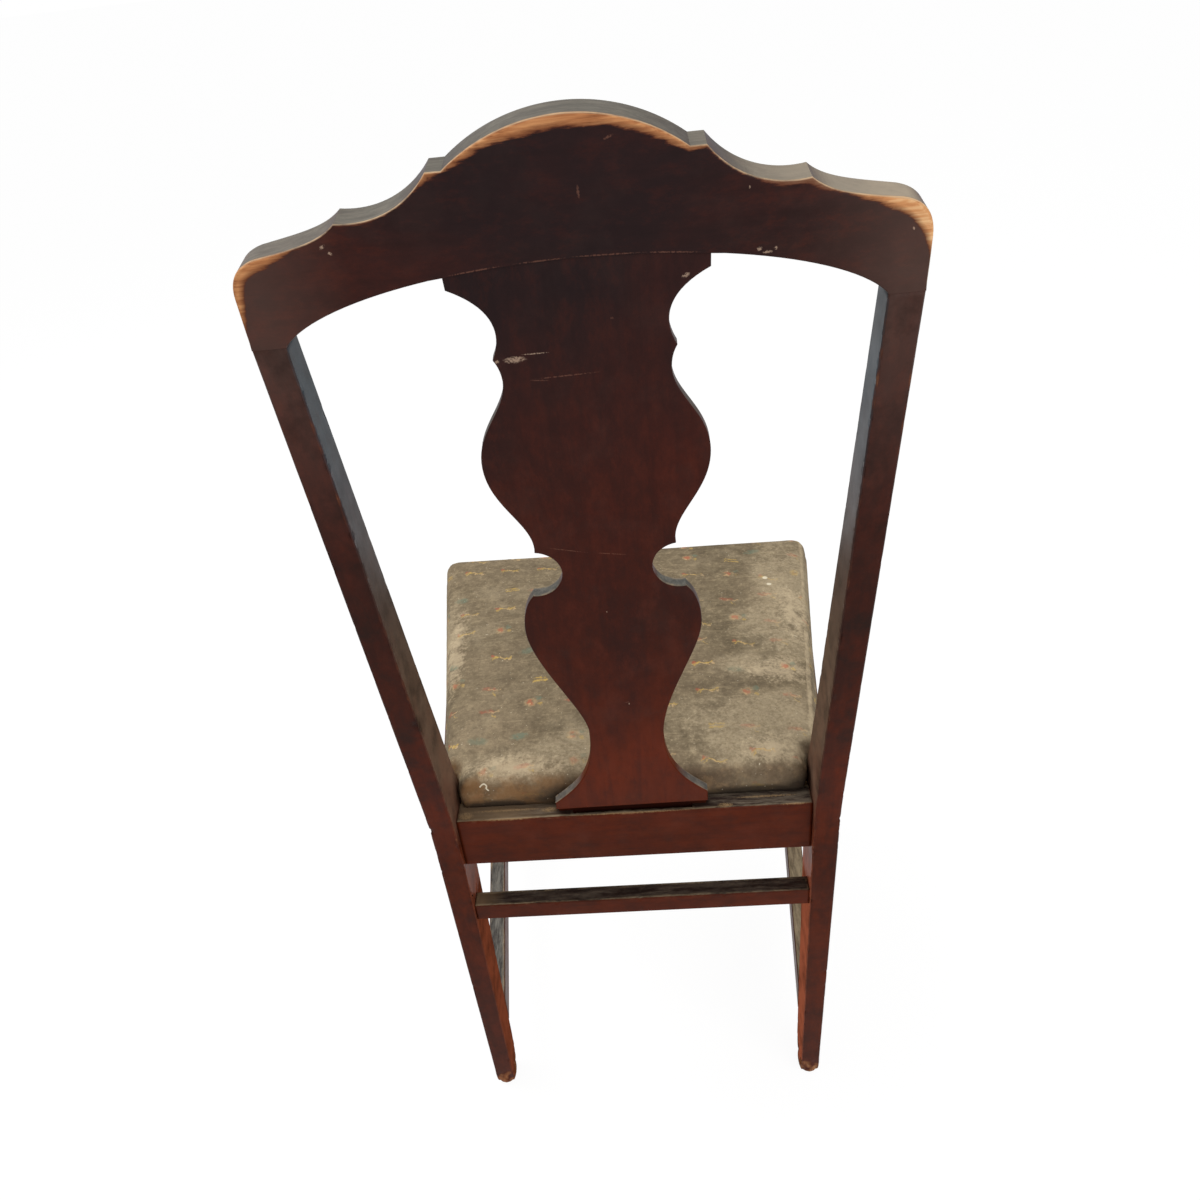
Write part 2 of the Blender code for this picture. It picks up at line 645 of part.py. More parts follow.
def build_side_stretchers():
    middle = SIDE_STRETCHER_TOP - SIDE_STRETCHER_HEIGHT / 2
    rear_y = front_y(middle)
    front_face = LEG_Y - ANKLE_SHIFT + ANKLE_HALF
    rear_x = post_inner(middle) + SIDE_STRETCHER_THICK / 2
    front_x = LEG_X + ANKLE_SHIFT
    slope = (front_x - rear_x) / (front_face - rear_y)
    slant = math.hypot(1.0, slope)
    half_y, half_z = tenon_halves(SIDE_STRETCHER_THICK, SIDE_STRETCHER_HEIGHT)

    def section(side, half_x, half_height, y_at, arris):
        corners = []
        for sx, sz in ((-1, -1), (-1, 1), (1, 1), (1, -1)):
            z = middle + sz * half_height
            y = y_at(z)
            x = rear_x + slope * (y - rear_y) + sx * half_x * slant
            corners.append((side * x, y, z))
        return chamfered(corners, arris)

    def post_face(z):
        return front_y(z) - GAP

    def leg_face(z):
        return front_face + GAP

    for name, side in both_sides():
        def body(y_at):
            return section(side, SIDE_STRETCHER_THICK / 2, SIDE_STRETCHER_HEIGHT / 2, y_at, ARRIS)

        def tenon(y_at, slack=0.0):
            return section(side, half_y + slack, half_z + slack, y_at, ARRIS / 2)

        def hole(face, inward):
            return [tenon(lambda z: face - inward * TENON_LENGTH, GAP),
                    tenon(lambda z: face + inward * (TENON_LENGTH + GAP), GAP)]

        rings = [tenon(lambda z: rear_y + TENON_LENGTH), tenon(post_face), body(post_face),
                 body(leg_face), tenon(leg_face), tenon(lambda z: front_face - TENON_LENGTH)]
        add_object(f"side_stretcher_{name}", ring_mesh("side_stretcher", rings), mahogany)
        cut(f"rear_post_{name}", hole(rear_y, 1.0))
        cut(f"front_leg_{name}", hole(front_face, -1.0))


# Dowels

def dowel_rings(radius, slack=0.0):
    end = DOWEL_HALF + slack
    nose = min(radius * 0.2, DOWEL_HALF)
    if slack:
        return turned([(radius + slack, -end), (radius + slack, end)])
    return turned([(radius - nose, -end), (radius, nose - end), (radius, end - nose), (radius - nose, end)])


def add_dowel(name, place, direction, pieces, radius=DOWEL_RADIUS):
    matrix = aimed(place, direction)
    add_object(name, ring_mesh("dowel", dowel_rings(radius)), beech, matrix)
    for piece in pieces:
        cut(piece, dowel_rings(radius, GAP), matrix)


def build_dowels():
    levels = (("lower", RAIL_MIDDLE - DOWEL_SPREAD), ("upper", RAIL_MIDDLE + DOWEL_SPREAD))
    rear_y = (REAR_RAIL_BACK + REAR_RAIL_FRONT) / 2
    front_y_middle = (FRONT_RAIL_FRONT + FRONT_RAIL_BACK) / 2
    for name, side in both_sides():
        rear_rail, post = "rear_seat_rail", f"rear_post_{name}"
        side_rail, leg = f"side_seat_rail_{name}", f"front_leg_{name}"
        for level, z in levels:
            place = (side * post_inner(z), rear_y, z)
            add_dowel(f"rear_rail_dowel_{name}_{level}", place, (side, 0, 0), (rear_rail, post))
            place = (side * (side_rail_outer(POST_FRONT) - SIDE_RAIL_THICK / 2), POST_FRONT, z)
            add_dowel(f"side_rail_rear_dowel_{name}_{level}", place, (0, 1, 0), (side_rail, post))
            place = (side * (side_rail_outer(LEG_BACK) - SIDE_RAIL_THICK / 2), LEG_BACK, z)
            add_dowel(f"side_rail_front_dowel_{name}_{level}", place, (0, -1, 0), (side_rail, leg))
            place = (side * (LEG_X - LEG_HALF), front_y_middle, z)
            add_dowel(f"front_rail_dowel_{name}_{level}", place, (side, 0, 0), ("front_seat_rail", leg))
        middle = (post_inner(POST_TOP) + post_outer(POST_TOP)) / 2
        frame = crest_matrix()
        place = frame @ Vector((side * middle, -BACK_THICK / 2, 0.0))
        up = frame.to_3x3() @ Vector((0, 0, 1))
        add_dowel(f"crest_dowel_{name}", place, up, ("crest_rail", post), CREST_DOWEL_RADIUS)


# Corner blocks and their screws

def screw_profile(slack):
    """Radius and height from the tip at zero to the head's top; with slack, the hole and its counterbore."""
    seat = SCREW_LENGTH
    if slack:
        open_end = seat + BLOCK_LENGTH
        return [(SCREW_RADIUS + slack, -slack), (SCREW_RADIUS + slack, seat - slack),
                (SCREW_HEAD_RADIUS + slack, seat - slack), (SCREW_HEAD_RADIUS + slack, open_end)]
    return [(SCREW_RADIUS * 0.3, 0.0), (SCREW_RADIUS, SCREW_RADIUS * 3), (SCREW_RADIUS, seat),
            (SCREW_HEAD_RADIUS, seat), (SCREW_HEAD_RADIUS, seat + SCREW_HEAD_HEIGHT * 0.4),
            (SCREW_HEAD_RADIUS * 0.6, seat + SCREW_HEAD_HEIGHT)]


def add_screw(name, tip, away, pieces):
    """A screw whose head lies along a direction from its tip."""
    matrix = aimed(tip, away)
    add_object(name, ring_mesh("screw", turned(screw_profile(0.0))), steel, matrix)
    for piece in pieces:
        cut(piece, turned(screw_profile(GAP)), matrix)


def block_rings(side, plan):
    return [[(side * x, y, z) for x, y in plan] for z in (BLOCK_TOP - BLOCK_HEIGHT, BLOCK_TOP)]


def build_corner_blocks():
    bite = SCREW_LENGTH - SCREW_GRIP
    seat_tip = BOARD_BOTTOM + BOARD_THICK - SEAT_SCREW_COVER
    for name, side in both_sides():
        side_rail = f"side_seat_rail_{name}"
        x0 = post_inner(BLOCK_TOP - BLOCK_HEIGHT) - GAP
        y0 = REAR_RAIL_FRONT - GAP
        far = y0 - BLOCK_LENGTH
        plan = [(x0, y0), (x0 - BLOCK_LENGTH, y0), (side_rail_inner(far) - GAP, far),
                (min(x0, side_rail_inner(POST_FRONT) - GAP), POST_FRONT)]
        block = f"corner_block_rear_{name}"
        add_object(block, ring_mesh("corner_block", block_rings(side, plan)), beech)
        tip = (side * (x0 - BLOCK_SCREW), REAR_RAIL_FRONT + bite, BLOCK_MIDDLE)
        add_screw(f"block_screw_rear_{name}_back", tip, (0, -1, 0), (block, "rear_seat_rail"))
        y = y0 - BLOCK_SCREW
        tip = (side * (side_rail_inner(y) + bite), y, BLOCK_MIDDLE)
        add_screw(f"block_screw_rear_{name}_side", tip, (-side, 0, 0), (block, side_rail))
        tip = (side * (x0 - SEAT_SCREW), y0 - SEAT_SCREW, seat_tip)
        add_screw(f"seat_screw_rear_{name}", tip, (0, 0, -1), (block, "seat_board"))

        x1 = LEG_X - LEG_HALF - GAP
        y1, y2 = FRONT_RAIL_BACK + GAP, LEG_BACK + GAP
        far = y2 + FRONT_BLOCK_LENGTH
        plan = [(x1 - FRONT_BLOCK_LENGTH, y1), (x1, y1), (x1, y2), (side_rail_inner(y2) - GAP, y2),
                (side_rail_inner(far) - GAP, far)]
        block = f"corner_block_front_{name}"
        add_object(block, ring_mesh("corner_block", block_rings(side, plan)), beech)
        tip = (side * (x1 - FRONT_BLOCK_SCREW), FRONT_RAIL_BACK - bite, BLOCK_MIDDLE)
        add_screw(f"block_screw_front_{name}_front", tip, (0, 1, 0), (block, "front_seat_rail"))
        y = y2 + FRONT_BLOCK_SCREW
        tip = (side * (side_rail_inner(y) + bite), y, BLOCK_MIDDLE)
        add_screw(f"block_screw_front_{name}_side", tip, (-side, 0, 0), (block, side_rail))
        tip = (side * (x1 - FRONT_SEAT_SCREW), y2 + FRONT_SEAT_SCREW, seat_tip)
        add_screw(f"seat_screw_front_{name}", tip, (0, 0, -1), (block, "seat_board"))


# Seat pad

def rounded_corner(before, corner, after, radius, steps):
    """Points of a fillet between two straight edges."""
    a = (Vector(before) - Vector(corner)).normalized()
    b = (Vector(after) - Vector(corner)).normalized()
    half = math.acos(max(-1.0, min(1.0, a.dot(b)))) / 2
    reach = radius / math.tan(half)
    centre = Vector(corner) + (a + b).normalized() * (radius / math.sin(half))
    start, end = Vector(corner) + a * reach - centre, Vector(corner) + b * reach - centre
    turn = start.angle_signed(end)
    return [centre + Matrix.Rotation(-turn * k / steps, 2) @ start for k in range(steps + 1)]


def pad_half_width(y):
    """Half distance between the pad's sides, before any inset."""
    stations = (
        (-PAD_FRONT, side_rail_outer(-LEG_FRONT) + PAD_SIDE_OVERHANG),
        (POST_FRONT, side_rail_outer(POST_FRONT) - PAD_REAR_INSET),
    )
    return between(y, stations)


def pad_outline(inset):
    """Plan of the pad drawn in by an inset: a tongue between the posts and a wider body before them."""
    tongue = POST_INNER_SEAT - PAD_TONGUE_GAP - inset
    rear, notch, front = -PAD_REAR - inset, POST_FRONT - PAD_NOTCH_GAP - inset, inset - PAD_FRONT
    plan = [(0.0, rear), (tongue, rear), (tongue, notch), (pad_half_width(notch) - inset, notch),
            (pad_half_width(front) - inset, front), (0.0, front)]
    radii = (PAD_TONGUE_RADIUS - inset, PAD_NOTCH_RADIUS + inset,
             PAD_NOTCH_RADIUS - inset, PAD_CORNER_RADIUS - inset)
    half = []
    for k, radius in enumerate(radii, 1):
        steps = 5 if k == 4 else 2
        if k == 4:
            half += [Vector(plan[3]).lerp(Vector(plan[4]), share) for share in (0.25, 0.5, 0.75)]
        half += rounded_corner(plan[k - 1], plan[k], plan[k + 1], max(radius, ARRIS), steps)
    reach = half[-1].x
    across = [Vector((reach * t, front - PAD_FRONT_BOW * (1 - t * t))) for t in (0.75, 0.45, 0.15)]
    behind = [Vector((half[0].x * t, rear)) for t in (0.15, 0.45, 0.75)]
    half = [*behind, *half, *across]
    return [*half, *[Vector((-p.x, p.y)) for p in reversed(half)]]


def pad_lift(x, y):
    """Height above the rear edge: higher at the front, and crowned between the four sides."""
    forward = (-PAD_REAR - y) / (PAD_FRONT - PAD_REAR)
    across = x / pad_half_width(y)
    crown = (1 - abs(across) ** 2.2) * (1 - abs(2 * forward - 1) ** 2.2)
    return PAD_FRONT_RISE * forward, PAD_CROWN * max(0.0, crown)


def pad_rings(depth, low, hem=None):
    """Rings up the side of the pad and over its crown, a depth inside its outer face."""
    edge = PAD_EDGE - depth
    rings = []
    if hem is not None:
        rings.append([(*p, low) for p in pad_outline(hem)])
    sides = ((PAD_DRAWN_IN, 0.0), (PAD_DRAWN_IN * 0.3, 0.25), (0.0, 0.5),
             (PAD_DRAWN_IN * 0.5, 0.78), (PAD_ROUND, 1.0))
    for inset, share in sides:
        ring = pad_outline(inset + depth)
        rings.append([(*p, mix(low, edge + pad_lift(*p)[0], share)) for p in ring])
    middle = Vector((0.0, -(PAD_REAR + PAD_FRONT) / 2))
    last = pad_outline(PAD_ROUND + depth)
    for share in (0.93, 0.8, 0.6, 0.38, 0.18):
        ring = [middle + (p - middle) * share for p in last]
        rings.append([(*p, edge + sum(pad_lift(*p))) for p in ring])
    return rings


def build_seat():
    board = pad_outline(COVER_THICK + 2 * GAP + PAD_DRAWN_IN)
    levels = (BOARD_BOTTOM, BOARD_BOTTOM + BOARD_THICK)
    add_object("seat_board", ring_mesh("seat_board", [[(*p, z) for p in board] for z in levels]), plywood)
    under = BOARD_BOTTOM + BOARD_THICK + GAP
    inside = [ring for ring in pad_rings(COVER_THICK + GAP, BOARD_BOTTOM) if ring[0][2] > under + ARRIS]
    foot = pad_outline(COVER_THICK + 2 * GAP + PAD_DRAWN_IN * 0.3)
    add_object("seat_padding", ring_mesh("seat_padding", [[(*p, under) for p in foot], *inside]), hair)
    outer = pad_rings(0.0, COVER_BOTTOM, COVER_HEM)
    inner = pad_rings(COVER_THICK, COVER_BOTTOM + COVER_THICK, COVER_HEM)
    add_object("seat_cover", skin_mesh("seat_cover", outer, inner), cotton)


def skin_mesh(name, outer, inner):
    """A skin between two nested ring stacks, open at their first rings and closed at their last."""
    bm = bmesh.new()
    loops = [[bm.verts.new(Vector(p)) for p in ring] for ring in [*reversed(outer), *inner]]
    count = len(loops[0])
    for low, high in zip(loops, loops[1:]):
        for i in range(count):
            j = (i + 1) % count
            bm.faces.new((low[i], low[j], high[j], high[i]))
    bm.faces.new(loops[0])
    bm.faces.new(reversed(loops[-1]))
    return finish_mesh(name, bm)


def apply_cutters():
    """One hidden body of holes for each piece that has any."""
    for piece, bm in cutters.items():
        cutter = add_object(f"holes_of_{piece}", finish_mesh(f"holes_of_{piece}", bm), None)
        boolean = bpy.data.objects[piece].modifiers.new("holes", "BOOLEAN")
        boolean.object = cutter
        boolean.operation = "DIFFERENCE"
        boolean.solver = "EXACT"


def centre_on_floor():
    """Move the chair so that the origin is under the middle of its box."""
    bpy.context.view_layer.update()
    depths = []
    for item in root.children:
        if not item.hide_render:
            depths += [(item.matrix_world @ v.co).y for v in item.data.vertices]
    root.location.y = -(min(depths) + max(depths)) / 2
    bpy.context.view_layer.update()


clear_scene()
root = bpy.data.objects.new("chair", None)
bpy.context.scene.collection.objects.link(root)
mahogany = make_material("dark_mahogany", (0.060, 0.018, 0.012), 0.42)
beech = make_material("plain_beech", (0.42, 0.27, 0.15), 0.7)
steel = make_material("screw_steel", (0.35, 0.34, 0.33), 0.45, 0.9)
plywood = make_material("seat_plywood", (0.40, 0.27, 0.16), 0.75)
hair = make_material("hair_padding", (0.22, 0.18, 0.14), 0.95)
cotton = make_material("printed_cotton", (0.24, 0.20, 0.14), 0.9)
build_posts()
build_crest()
build_rails()
build_splat()
build_front_legs()
build_rear_stretcher()
build_side_stretchers()
build_dowels()
build_corner_blocks()
build_seat()
apply_cutters()
centre_on_floor()
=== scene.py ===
"""Looks of an old side chair in dark mahogany with a worn, upholstered seat."""

import json
import math

import bmesh
import bpy
import numpy as np
from mathutils import Matrix, Vector, kdtree, noise
from mathutils.geometry import interpolate_bezier

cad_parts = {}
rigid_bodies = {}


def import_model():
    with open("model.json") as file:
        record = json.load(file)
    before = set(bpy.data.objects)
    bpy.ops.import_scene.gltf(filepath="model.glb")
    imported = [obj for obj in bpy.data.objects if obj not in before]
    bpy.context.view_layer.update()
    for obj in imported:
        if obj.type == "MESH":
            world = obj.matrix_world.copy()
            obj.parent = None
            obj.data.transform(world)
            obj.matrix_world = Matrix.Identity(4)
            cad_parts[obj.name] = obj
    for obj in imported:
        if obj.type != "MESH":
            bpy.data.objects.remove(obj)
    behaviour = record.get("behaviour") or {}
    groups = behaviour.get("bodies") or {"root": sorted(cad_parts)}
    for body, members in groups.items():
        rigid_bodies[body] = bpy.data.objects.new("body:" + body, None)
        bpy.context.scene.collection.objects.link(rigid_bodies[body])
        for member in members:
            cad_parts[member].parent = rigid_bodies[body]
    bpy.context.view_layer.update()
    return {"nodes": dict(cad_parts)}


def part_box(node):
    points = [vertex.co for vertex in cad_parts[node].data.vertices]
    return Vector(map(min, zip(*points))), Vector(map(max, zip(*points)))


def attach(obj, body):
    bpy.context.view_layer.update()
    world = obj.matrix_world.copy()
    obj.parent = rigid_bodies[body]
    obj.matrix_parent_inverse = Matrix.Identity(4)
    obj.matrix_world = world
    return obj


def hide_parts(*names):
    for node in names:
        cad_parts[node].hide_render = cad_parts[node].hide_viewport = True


for thing in list(bpy.data.objects):
    bpy.data.objects.remove(thing)
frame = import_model()
NODES = frame["nodes"]
scene = bpy.context.scene

# Frame of the back, in metres, as in the part's source
BACK_RAKE = math.radians(8.35)
CREST_ORIGIN = Vector((0.0, 0.249467, 0.911))
CREST_THICK = 0.0255
POST_INNER_TOP = 0.1797
CREST_OUTER = 0.2013
ARCH_HALF, ARCH_TOP, ARCH_FOOT, STEP_WIDTH, HOLLOW_SAG = 0.067, 0.115, 0.0925, 0.009, 0.0082
CUSP = (0.1323, 0.0702)
SHOULDER_IN, SHOULDER_HEIGHT, SHOULDER_START, SHOULDER_FULLNESS = 0.0183, 0.0542, 0.0313, 0.61
SWEEP_RISE, SWEEP_DIP = 0.0046, 0.0091
UNDER_CROWN, UNDER_SPREAD = 0.0387, 0.0058
SPLAT_FOOT = Vector((0.0, 0.164665, 0.4214))
SPLAT_THICK, SPLAT_FOOT_HALF, SPLAT_HEAD_HALF = 0.0095, 0.0704, 0.0775
SPLAT_FLUSH, SPLAT_HEAD_BLOCK = 0.001, 0.0084
JOINT_GAP = 0.0003
FACE_EDGE = 0.005       # longest edge of the dressed meshes
SHARP = math.radians(32)
SHEEN = 0.06            # specular level of the dull old varnish

CREST_PLACE = Matrix.Translation(CREST_ORIGIN) @ Matrix.Rotation(-BACK_RAKE, 4, "X")


def rgb(red, green, blue):
    """A display colour from 0 to 255 as the linear colour that sockets take."""
    def linear(value):
        value /= 255
        return value / 12.92 if value < 0.04045 else ((value + 0.055) / 1.055) ** 2.4
    return (linear(red), linear(green), linear(blue), 1.0)


# Node trees

class Net:
    """Short forms for the nodes of one tree."""

    def __init__(self, tree):
        self.tree = tree
        tree.nodes.clear()

    def node(self, kind, **settings):
        made = self.tree.nodes.new("ShaderNode" + kind)
        for key, value in settings.items():
            setattr(made, key, value)
        return made

    def feed(self, value, socket):
        if isinstance(value, bpy.types.NodeSocket):
            self.tree.links.new(value, socket)
        elif value is not None:
            socket.default_value = value

    def fed(self, made, *values, **named):
        """The node, with values or links on its first inputs and on those named."""
        for value, socket in zip(values, made.inputs):
            self.feed(value, socket)
        for key, value in named.items():
            self.feed(value, made.inputs[key])
        return made

    def math(self, operation, *values, clamp=False):
        made = self.node("Math", operation=operation, use_clamp=clamp)
        return self.fed(made, *values).outputs[0]

    def product_sum(self, first, second, third, clamp=False):
        return self.math("MULTIPLY_ADD", first, second, third, clamp=clamp)

    def times(self, first, *others):
        for other in others:
            first = self.math("MULTIPLY", first, other)
        return first

    def vector(self, operation, first, second=None):
        made = self.node("VectorMath", operation=operation)
        self.feed(first, made.inputs[0])
        self.feed(second, made.inputs["Scale" if operation == "SCALE" else 1])
        return made.outputs["Value" if operation in ("LENGTH", "DISTANCE") else "Vector"]

    def noise(self, at, scale, detail=3.0, rough=0.5, warp=0.0):
        made = self.node("TexNoise")
        self.fed(made, Vector=at, Scale=scale, Detail=detail, Roughness=rough, Distortion=warp)
        return made.outputs["Fac"]

    def remap(self, value, low, high, to_low=0.0, to_high=1.0):
        made = self.node("MapRange", clamp=True)
        return self.fed(made, value, low, high, to_low, to_high).outputs[0]

    def mix(self, share, first, second):
        made = self.node("Mix", data_type="RGBA")
        self.feed(share, made.inputs[0])
        self.feed(first, made.inputs[6])
        self.feed(second, made.inputs[7])
        return made.outputs[2]

    def layers(self, colour, *coats):
        """Coats over a colour: (value, low, high, share, tint) each, at its full share from high on."""
        for value, low, high, share, tint in coats:
            colour = self.mix(self.remap(value, low, high, 0.0, share), colour, tint)
        return colour

    def ramp(self, value, *stops):
        made = self.node("ValToRGB")
        elements = made.color_ramp.elements
        while len(elements) < len(stops):
            elements.new(0.5)
        for element, (place, colour) in zip(elements, stops):
            element.position = place
            element.color = colour
        return self.fed(made, value).outputs[0]

    def mapping(self, at, place=(0, 0, 0), turn=(0, 0, 0), size=(1, 1, 1), kind="POINT"):
        made = self.node("Mapping", vector_type=kind)
        return self.fed(made, Vector=at, Location=place, Rotation=turn, Scale=size).outputs[0]

    def split(self, vector):
        return self.fed(self.node("SeparateXYZ"), vector).outputs

    def attribute(self, name):
        return self.node("Attribute", attribute_name=name).outputs["Fac"]

    def blots(self, at, spots):
        """Share from 0 to 1 of soft ellipses: centre, half sizes and, where there is one, a turn."""
        total = None
        for centre, halves, *turn in spots:
            near = self.mapping(at, centre, turn[0] if turn else (0, 0, 0), halves, "TEXTURE")
            share = self.fed(self.node("TexGradient", gradient_type="SPHERICAL"), near).outputs["Fac"]
            total = share if total is None else self.math("MAXIMUM", total, share)
        return total

    def seen(self):
        """One for what the camera, gloss or glass shows, and none for what only lights the object."""
        path = self.node("LightPath").outputs
        mirrored = self.math("MAXIMUM", path["Is Glossy Ray"], path["Is Transmission Ray"])
        return self.math("MAXIMUM", path["Is Camera Ray"], mirrored)

    def bump(self, height, strength, distance, below=None):
        made = self.node("Bump")
        return self.fed(made, Strength=strength, Distance=distance, Height=height, Normal=below).outputs[0]

    def surface(self, colour, rough, normal, specular=None, metallic=None):
        shader = self.fed(self.node("BsdfPrincipled"), Roughness=rough, Normal=normal, Metallic=metallic)
        self.feed(colour, shader.inputs["Base Color"])
        self.feed(specular, shader.inputs["Specular IOR Level"])
        self.fed(self.node("OutputMaterial"), Surface=shader.outputs[0])


def new_material(name):
    made = bpy.data.materials.new(name)
    made.use_nodes = True
    return made, Net(made.node_tree)


def mahogany(name, grain, seed, ragged=0.0006, dust_and_painted_light=None, marks=(), lines=(), soot=0.0,
             painted_light_tint=None, shade=(), dust_and_painted_light_from=0.7, mark_tint=rgb(184, 156, 134)):
    """Old dark varnish on mahogany: bare by the attribute 'bare', pale along 'rim' as wear and a painted
    highlight, dusty on top, where on some pieces the dust also paints sheen and light, with painted light and
    a painted sky reflection on the posts' inner faces, and painted shade where given.
    """
    made, net = new_material(name)
    at = net.node("TexCoord").outputs["Object"]
    x, _, z = net.split(at)
    normal_x, _, normal_z = net.split(net.node("NewGeometry").outputs["Normal"])
    turn = Vector(grain).rotation_difference(Vector((1.0, 0.0, 0.0))).to_euler()
    along = net.mapping(at, (seed * 0.37, seed * 0.61, seed * 0.23), turn)

    def lengthwise(share, scale, detail, rough, warp=0.0):
        return net.noise(net.vector("MULTIPLY", along, (share, 1.0, 1.0)), scale, detail, rough, warp)

    # Varnish: nearly black at the crest, redder and thinner towards the feet
    streaks = lengthwise(0.06, 150.0, 4.0, 0.6, 0.4)
    pores = lengthwise(0.05, 900.0, 2.0, 0.5)
    clouds = lengthwise(0.4, 14.0, 4.0, 0.6, 0.3)
    grainy = lengthwise(0.5, 95.0, 7.0, 0.75)
    smears = net.noise(along, 26.0, 5.0, 0.65, 0.2)
    varnish = net.ramp(
        net.remap(net.math("ADD", z, net.remap(clouds, 0.3, 0.7, -0.05, 0.05)), 0.2, 1.1),
        (0.0, rgb(82, 33, 15)), (0.2, rgb(78, 29, 9)), (0.3, rgb(91, 31, 6)), (0.42, rgb(72, 25, 8)),
        (0.5, rgb(58, 22, 12)), (0.62, rgb(57, 24, 17)), (0.76, rgb(52, 27, 23)), (0.9, rgb(45, 28, 27)),
    )
    varnish = net.layers(
        varnish,
        (clouds, 0.52, 0.34, 0.2, rgb(84, 33, 23)), (clouds, 0.5, 0.68, 0.4, rgb(30, 19, 19)),
        (streaks, 0.45, 0.75, 0.3, rgb(30, 15, 13)), (grainy, 0.5, 0.68, 0.35, rgb(30, 19, 17)),
        (grainy, 0.5, 0.34, 0.22, rgb(94, 40, 25)),
    )
    out = net.math("ABSOLUTE", x)
    ends = net.times(net.remap(out, 0.13, 0.185), net.remap(z, 0.74, 0.9))
    hazy = net.product_sum(ends, 0.2, net.remap(smears, 0.5, 0.8, 0.0, 0.06))
    varnish = net.mix(hazy, varnish, rgb(122, 98, 88))
    middle = net.times(net.remap(out, 0.13, 0.05), net.remap(z, 0.78, 0.93))
    varnish = net.mix(net.times(middle, 0.42), varnish, rgb(26, 21, 24))

    # Inner faces of the posts: a cool tint above as a painted sky reflection, dust at the seat, and below it
    # red with painted light and without gloss
    gloss = SHEEN
    if painted_light_tint:
        sideways = net.remap(net.times(normal_x, net.math("SIGN", x)), -0.6, -0.9)
        painted_sky_reflection = net.times(sideways, net.remap(z, 0.6, 0.85, 0.0, 0.55))
        varnish = net.mix(painted_sky_reflection, varnish, rgb(46, 74, 84))
        dusty = net.times(
            net.remap(z, 0.39, 0.44), net.remap(z, 0.8, 0.6), sideways, net.remap(smears, 0.3, 0.7, 0.3, 0.65))
        varnish = net.mix(dusty, varnish, rgb(134, 111, 92))
        painted_lit_sides = net.times(sideways, net.remap(z, 0.42, 0.3))
        varnish = net.mix(net.times(painted_lit_sides, 0.85), varnish, painted_light_tint)
        gloss = net.times(net.math("SUBTRACT", 1.0, painted_lit_sides), SHEEN)

    # Bare wood with a shredded border, and a pale arris that is worn wood and a painted highlight
    border = lengthwise(0.2, 210.0, 6.0, 0.72)
    shreds = lengthwise(0.06, 620.0, 3.0, 0.6)
    shred = net.math("SUBTRACT", net.product_sum(shreds, 0.5, border), 0.75)
    frayed = net.remap(out, 0.176, 0.192, ragged * 2, ragged * 0.7)
    value = net.product_sum(shred, frayed, net.attribute("bare"))
    bare = net.remap(value, -0.0005, 0.0007)
    wood = net.ramp(
        net.math("ADD", lengthwise(0.05, 420.0, 4.0, 0.6), net.remap(x, -0.12, -0.19, 0.0, 0.16)),
        (0.28, rgb(122, 72, 44)), (0.45, rgb(174, 115, 73)),
        (0.62, rgb(200, 142, 94)), (0.8, rgb(222, 178, 130)),
    )
    hollow = net.math("ABSOLUTE", net.math("SUBTRACT", out, 0.118))
    wood = net.layers(
        wood, (hollow, 0.034, 0.022, 0.75, rgb(118, 92, 76)), (z, 0.09, 0.04, 0.65, rgb(106, 62, 42)))
    wood = net.mix(net.remap(value, 0.0, 0.0036), rgb(88, 46, 31), wood)
    colour = net.mix(bare, varnish, wood)
    rim = net.remap(net.attribute("rim"), 0.0012, 0.0004)
    rim = net.times(rim, net.remap(border, 0.36, 0.6, 0.15, 0.75))
    colour = net.mix(rim, colour, rgb(212, 182, 146))

    rough = net.product_sum(bare, 0.2, net.remap(smears, 0.3, 0.8, 0.34, 0.5))
    relief = net.product_sum(pores, 0.5, streaks)

    # Soot, and dust on what faces up; on the crest and the splat its grey also paints the sky's sheen, and its
    # lighter tints on the crest's right sweep and on the right side rails are painted light
    if soot:
        sooty = net.remap(net.noise(at, 40.0, 5.0, 0.65), 0.45, 0.7, 0.0, soot)
        handled = net.times(net.remap(z, 0.42, 0.52), net.remap(z, 0.84, 0.7))
        colour = net.mix(net.product_sum(handled, 0.3, sooty, clamp=True), colour, rgb(33, 22, 18))
    if dust_and_painted_light:
        share, dark, pale, (near, far, far_tint) = dust_and_painted_light
        dust_and_light_tint = net.mix(net.remap(lengthwise(0.16, 190.0, 8.0, 0.78), 0.42, 0.64), dark, pale)
        toward_far = net.times(net.remap(x, near, far), net.remap(smears, 0.3, 0.6, 0.5, 1.0))
        dust_and_light_tint = net.mix(toward_far, dust_and_light_tint, far_tint)
        crumbs = net.remap(net.attribute("bare"), -0.0026, -0.0006)
        crumbs = net.times(crumbs, net.remap(border, 0.4, 0.56))
        dust_and_light_tint = net.mix(net.times(crumbs, 0.75), dust_and_light_tint, rgb(160, 142, 114))
        lying = net.times(net.remap(normal_z, dust_and_painted_light_from, dust_and_painted_light_from + 0.23), share)
        colour = net.mix(net.times(lying, net.math("SUBTRACT", 1.0, rim)), colour, dust_and_light_tint)
        rough = net.product_sum(lying, 0.3, rough)

    # Scuffs and scratches
    for spots, tint, strength in ((marks, mark_tint, 0.6), (lines, rgb(132, 90, 74), 0.36)):
        if spots:
            broken = net.remap(net.noise(at, 900.0, 3.0, 0.7), 0.36, 0.6)
            cut = net.times(net.blots(at, spots), broken)
            cut = net.remap(cut, 0.12, 0.42)
            colour = net.mix(net.times(cut, strength), colour, tint)
            rough = net.product_sum(cut, 0.3, rough)
            relief = net.product_sum(cut, -0.8, relief)
    if shade:
        shaded = net.remap(net.blots(at, shade), 0.0, 0.35, 0.0, 0.85)
        colour = net.mix(shaded, colour, rgb(30, 14, 11))
    net.surface(colour, rough, net.bump(relief, 0.12, 0.0006), specular=gloss)
    return made


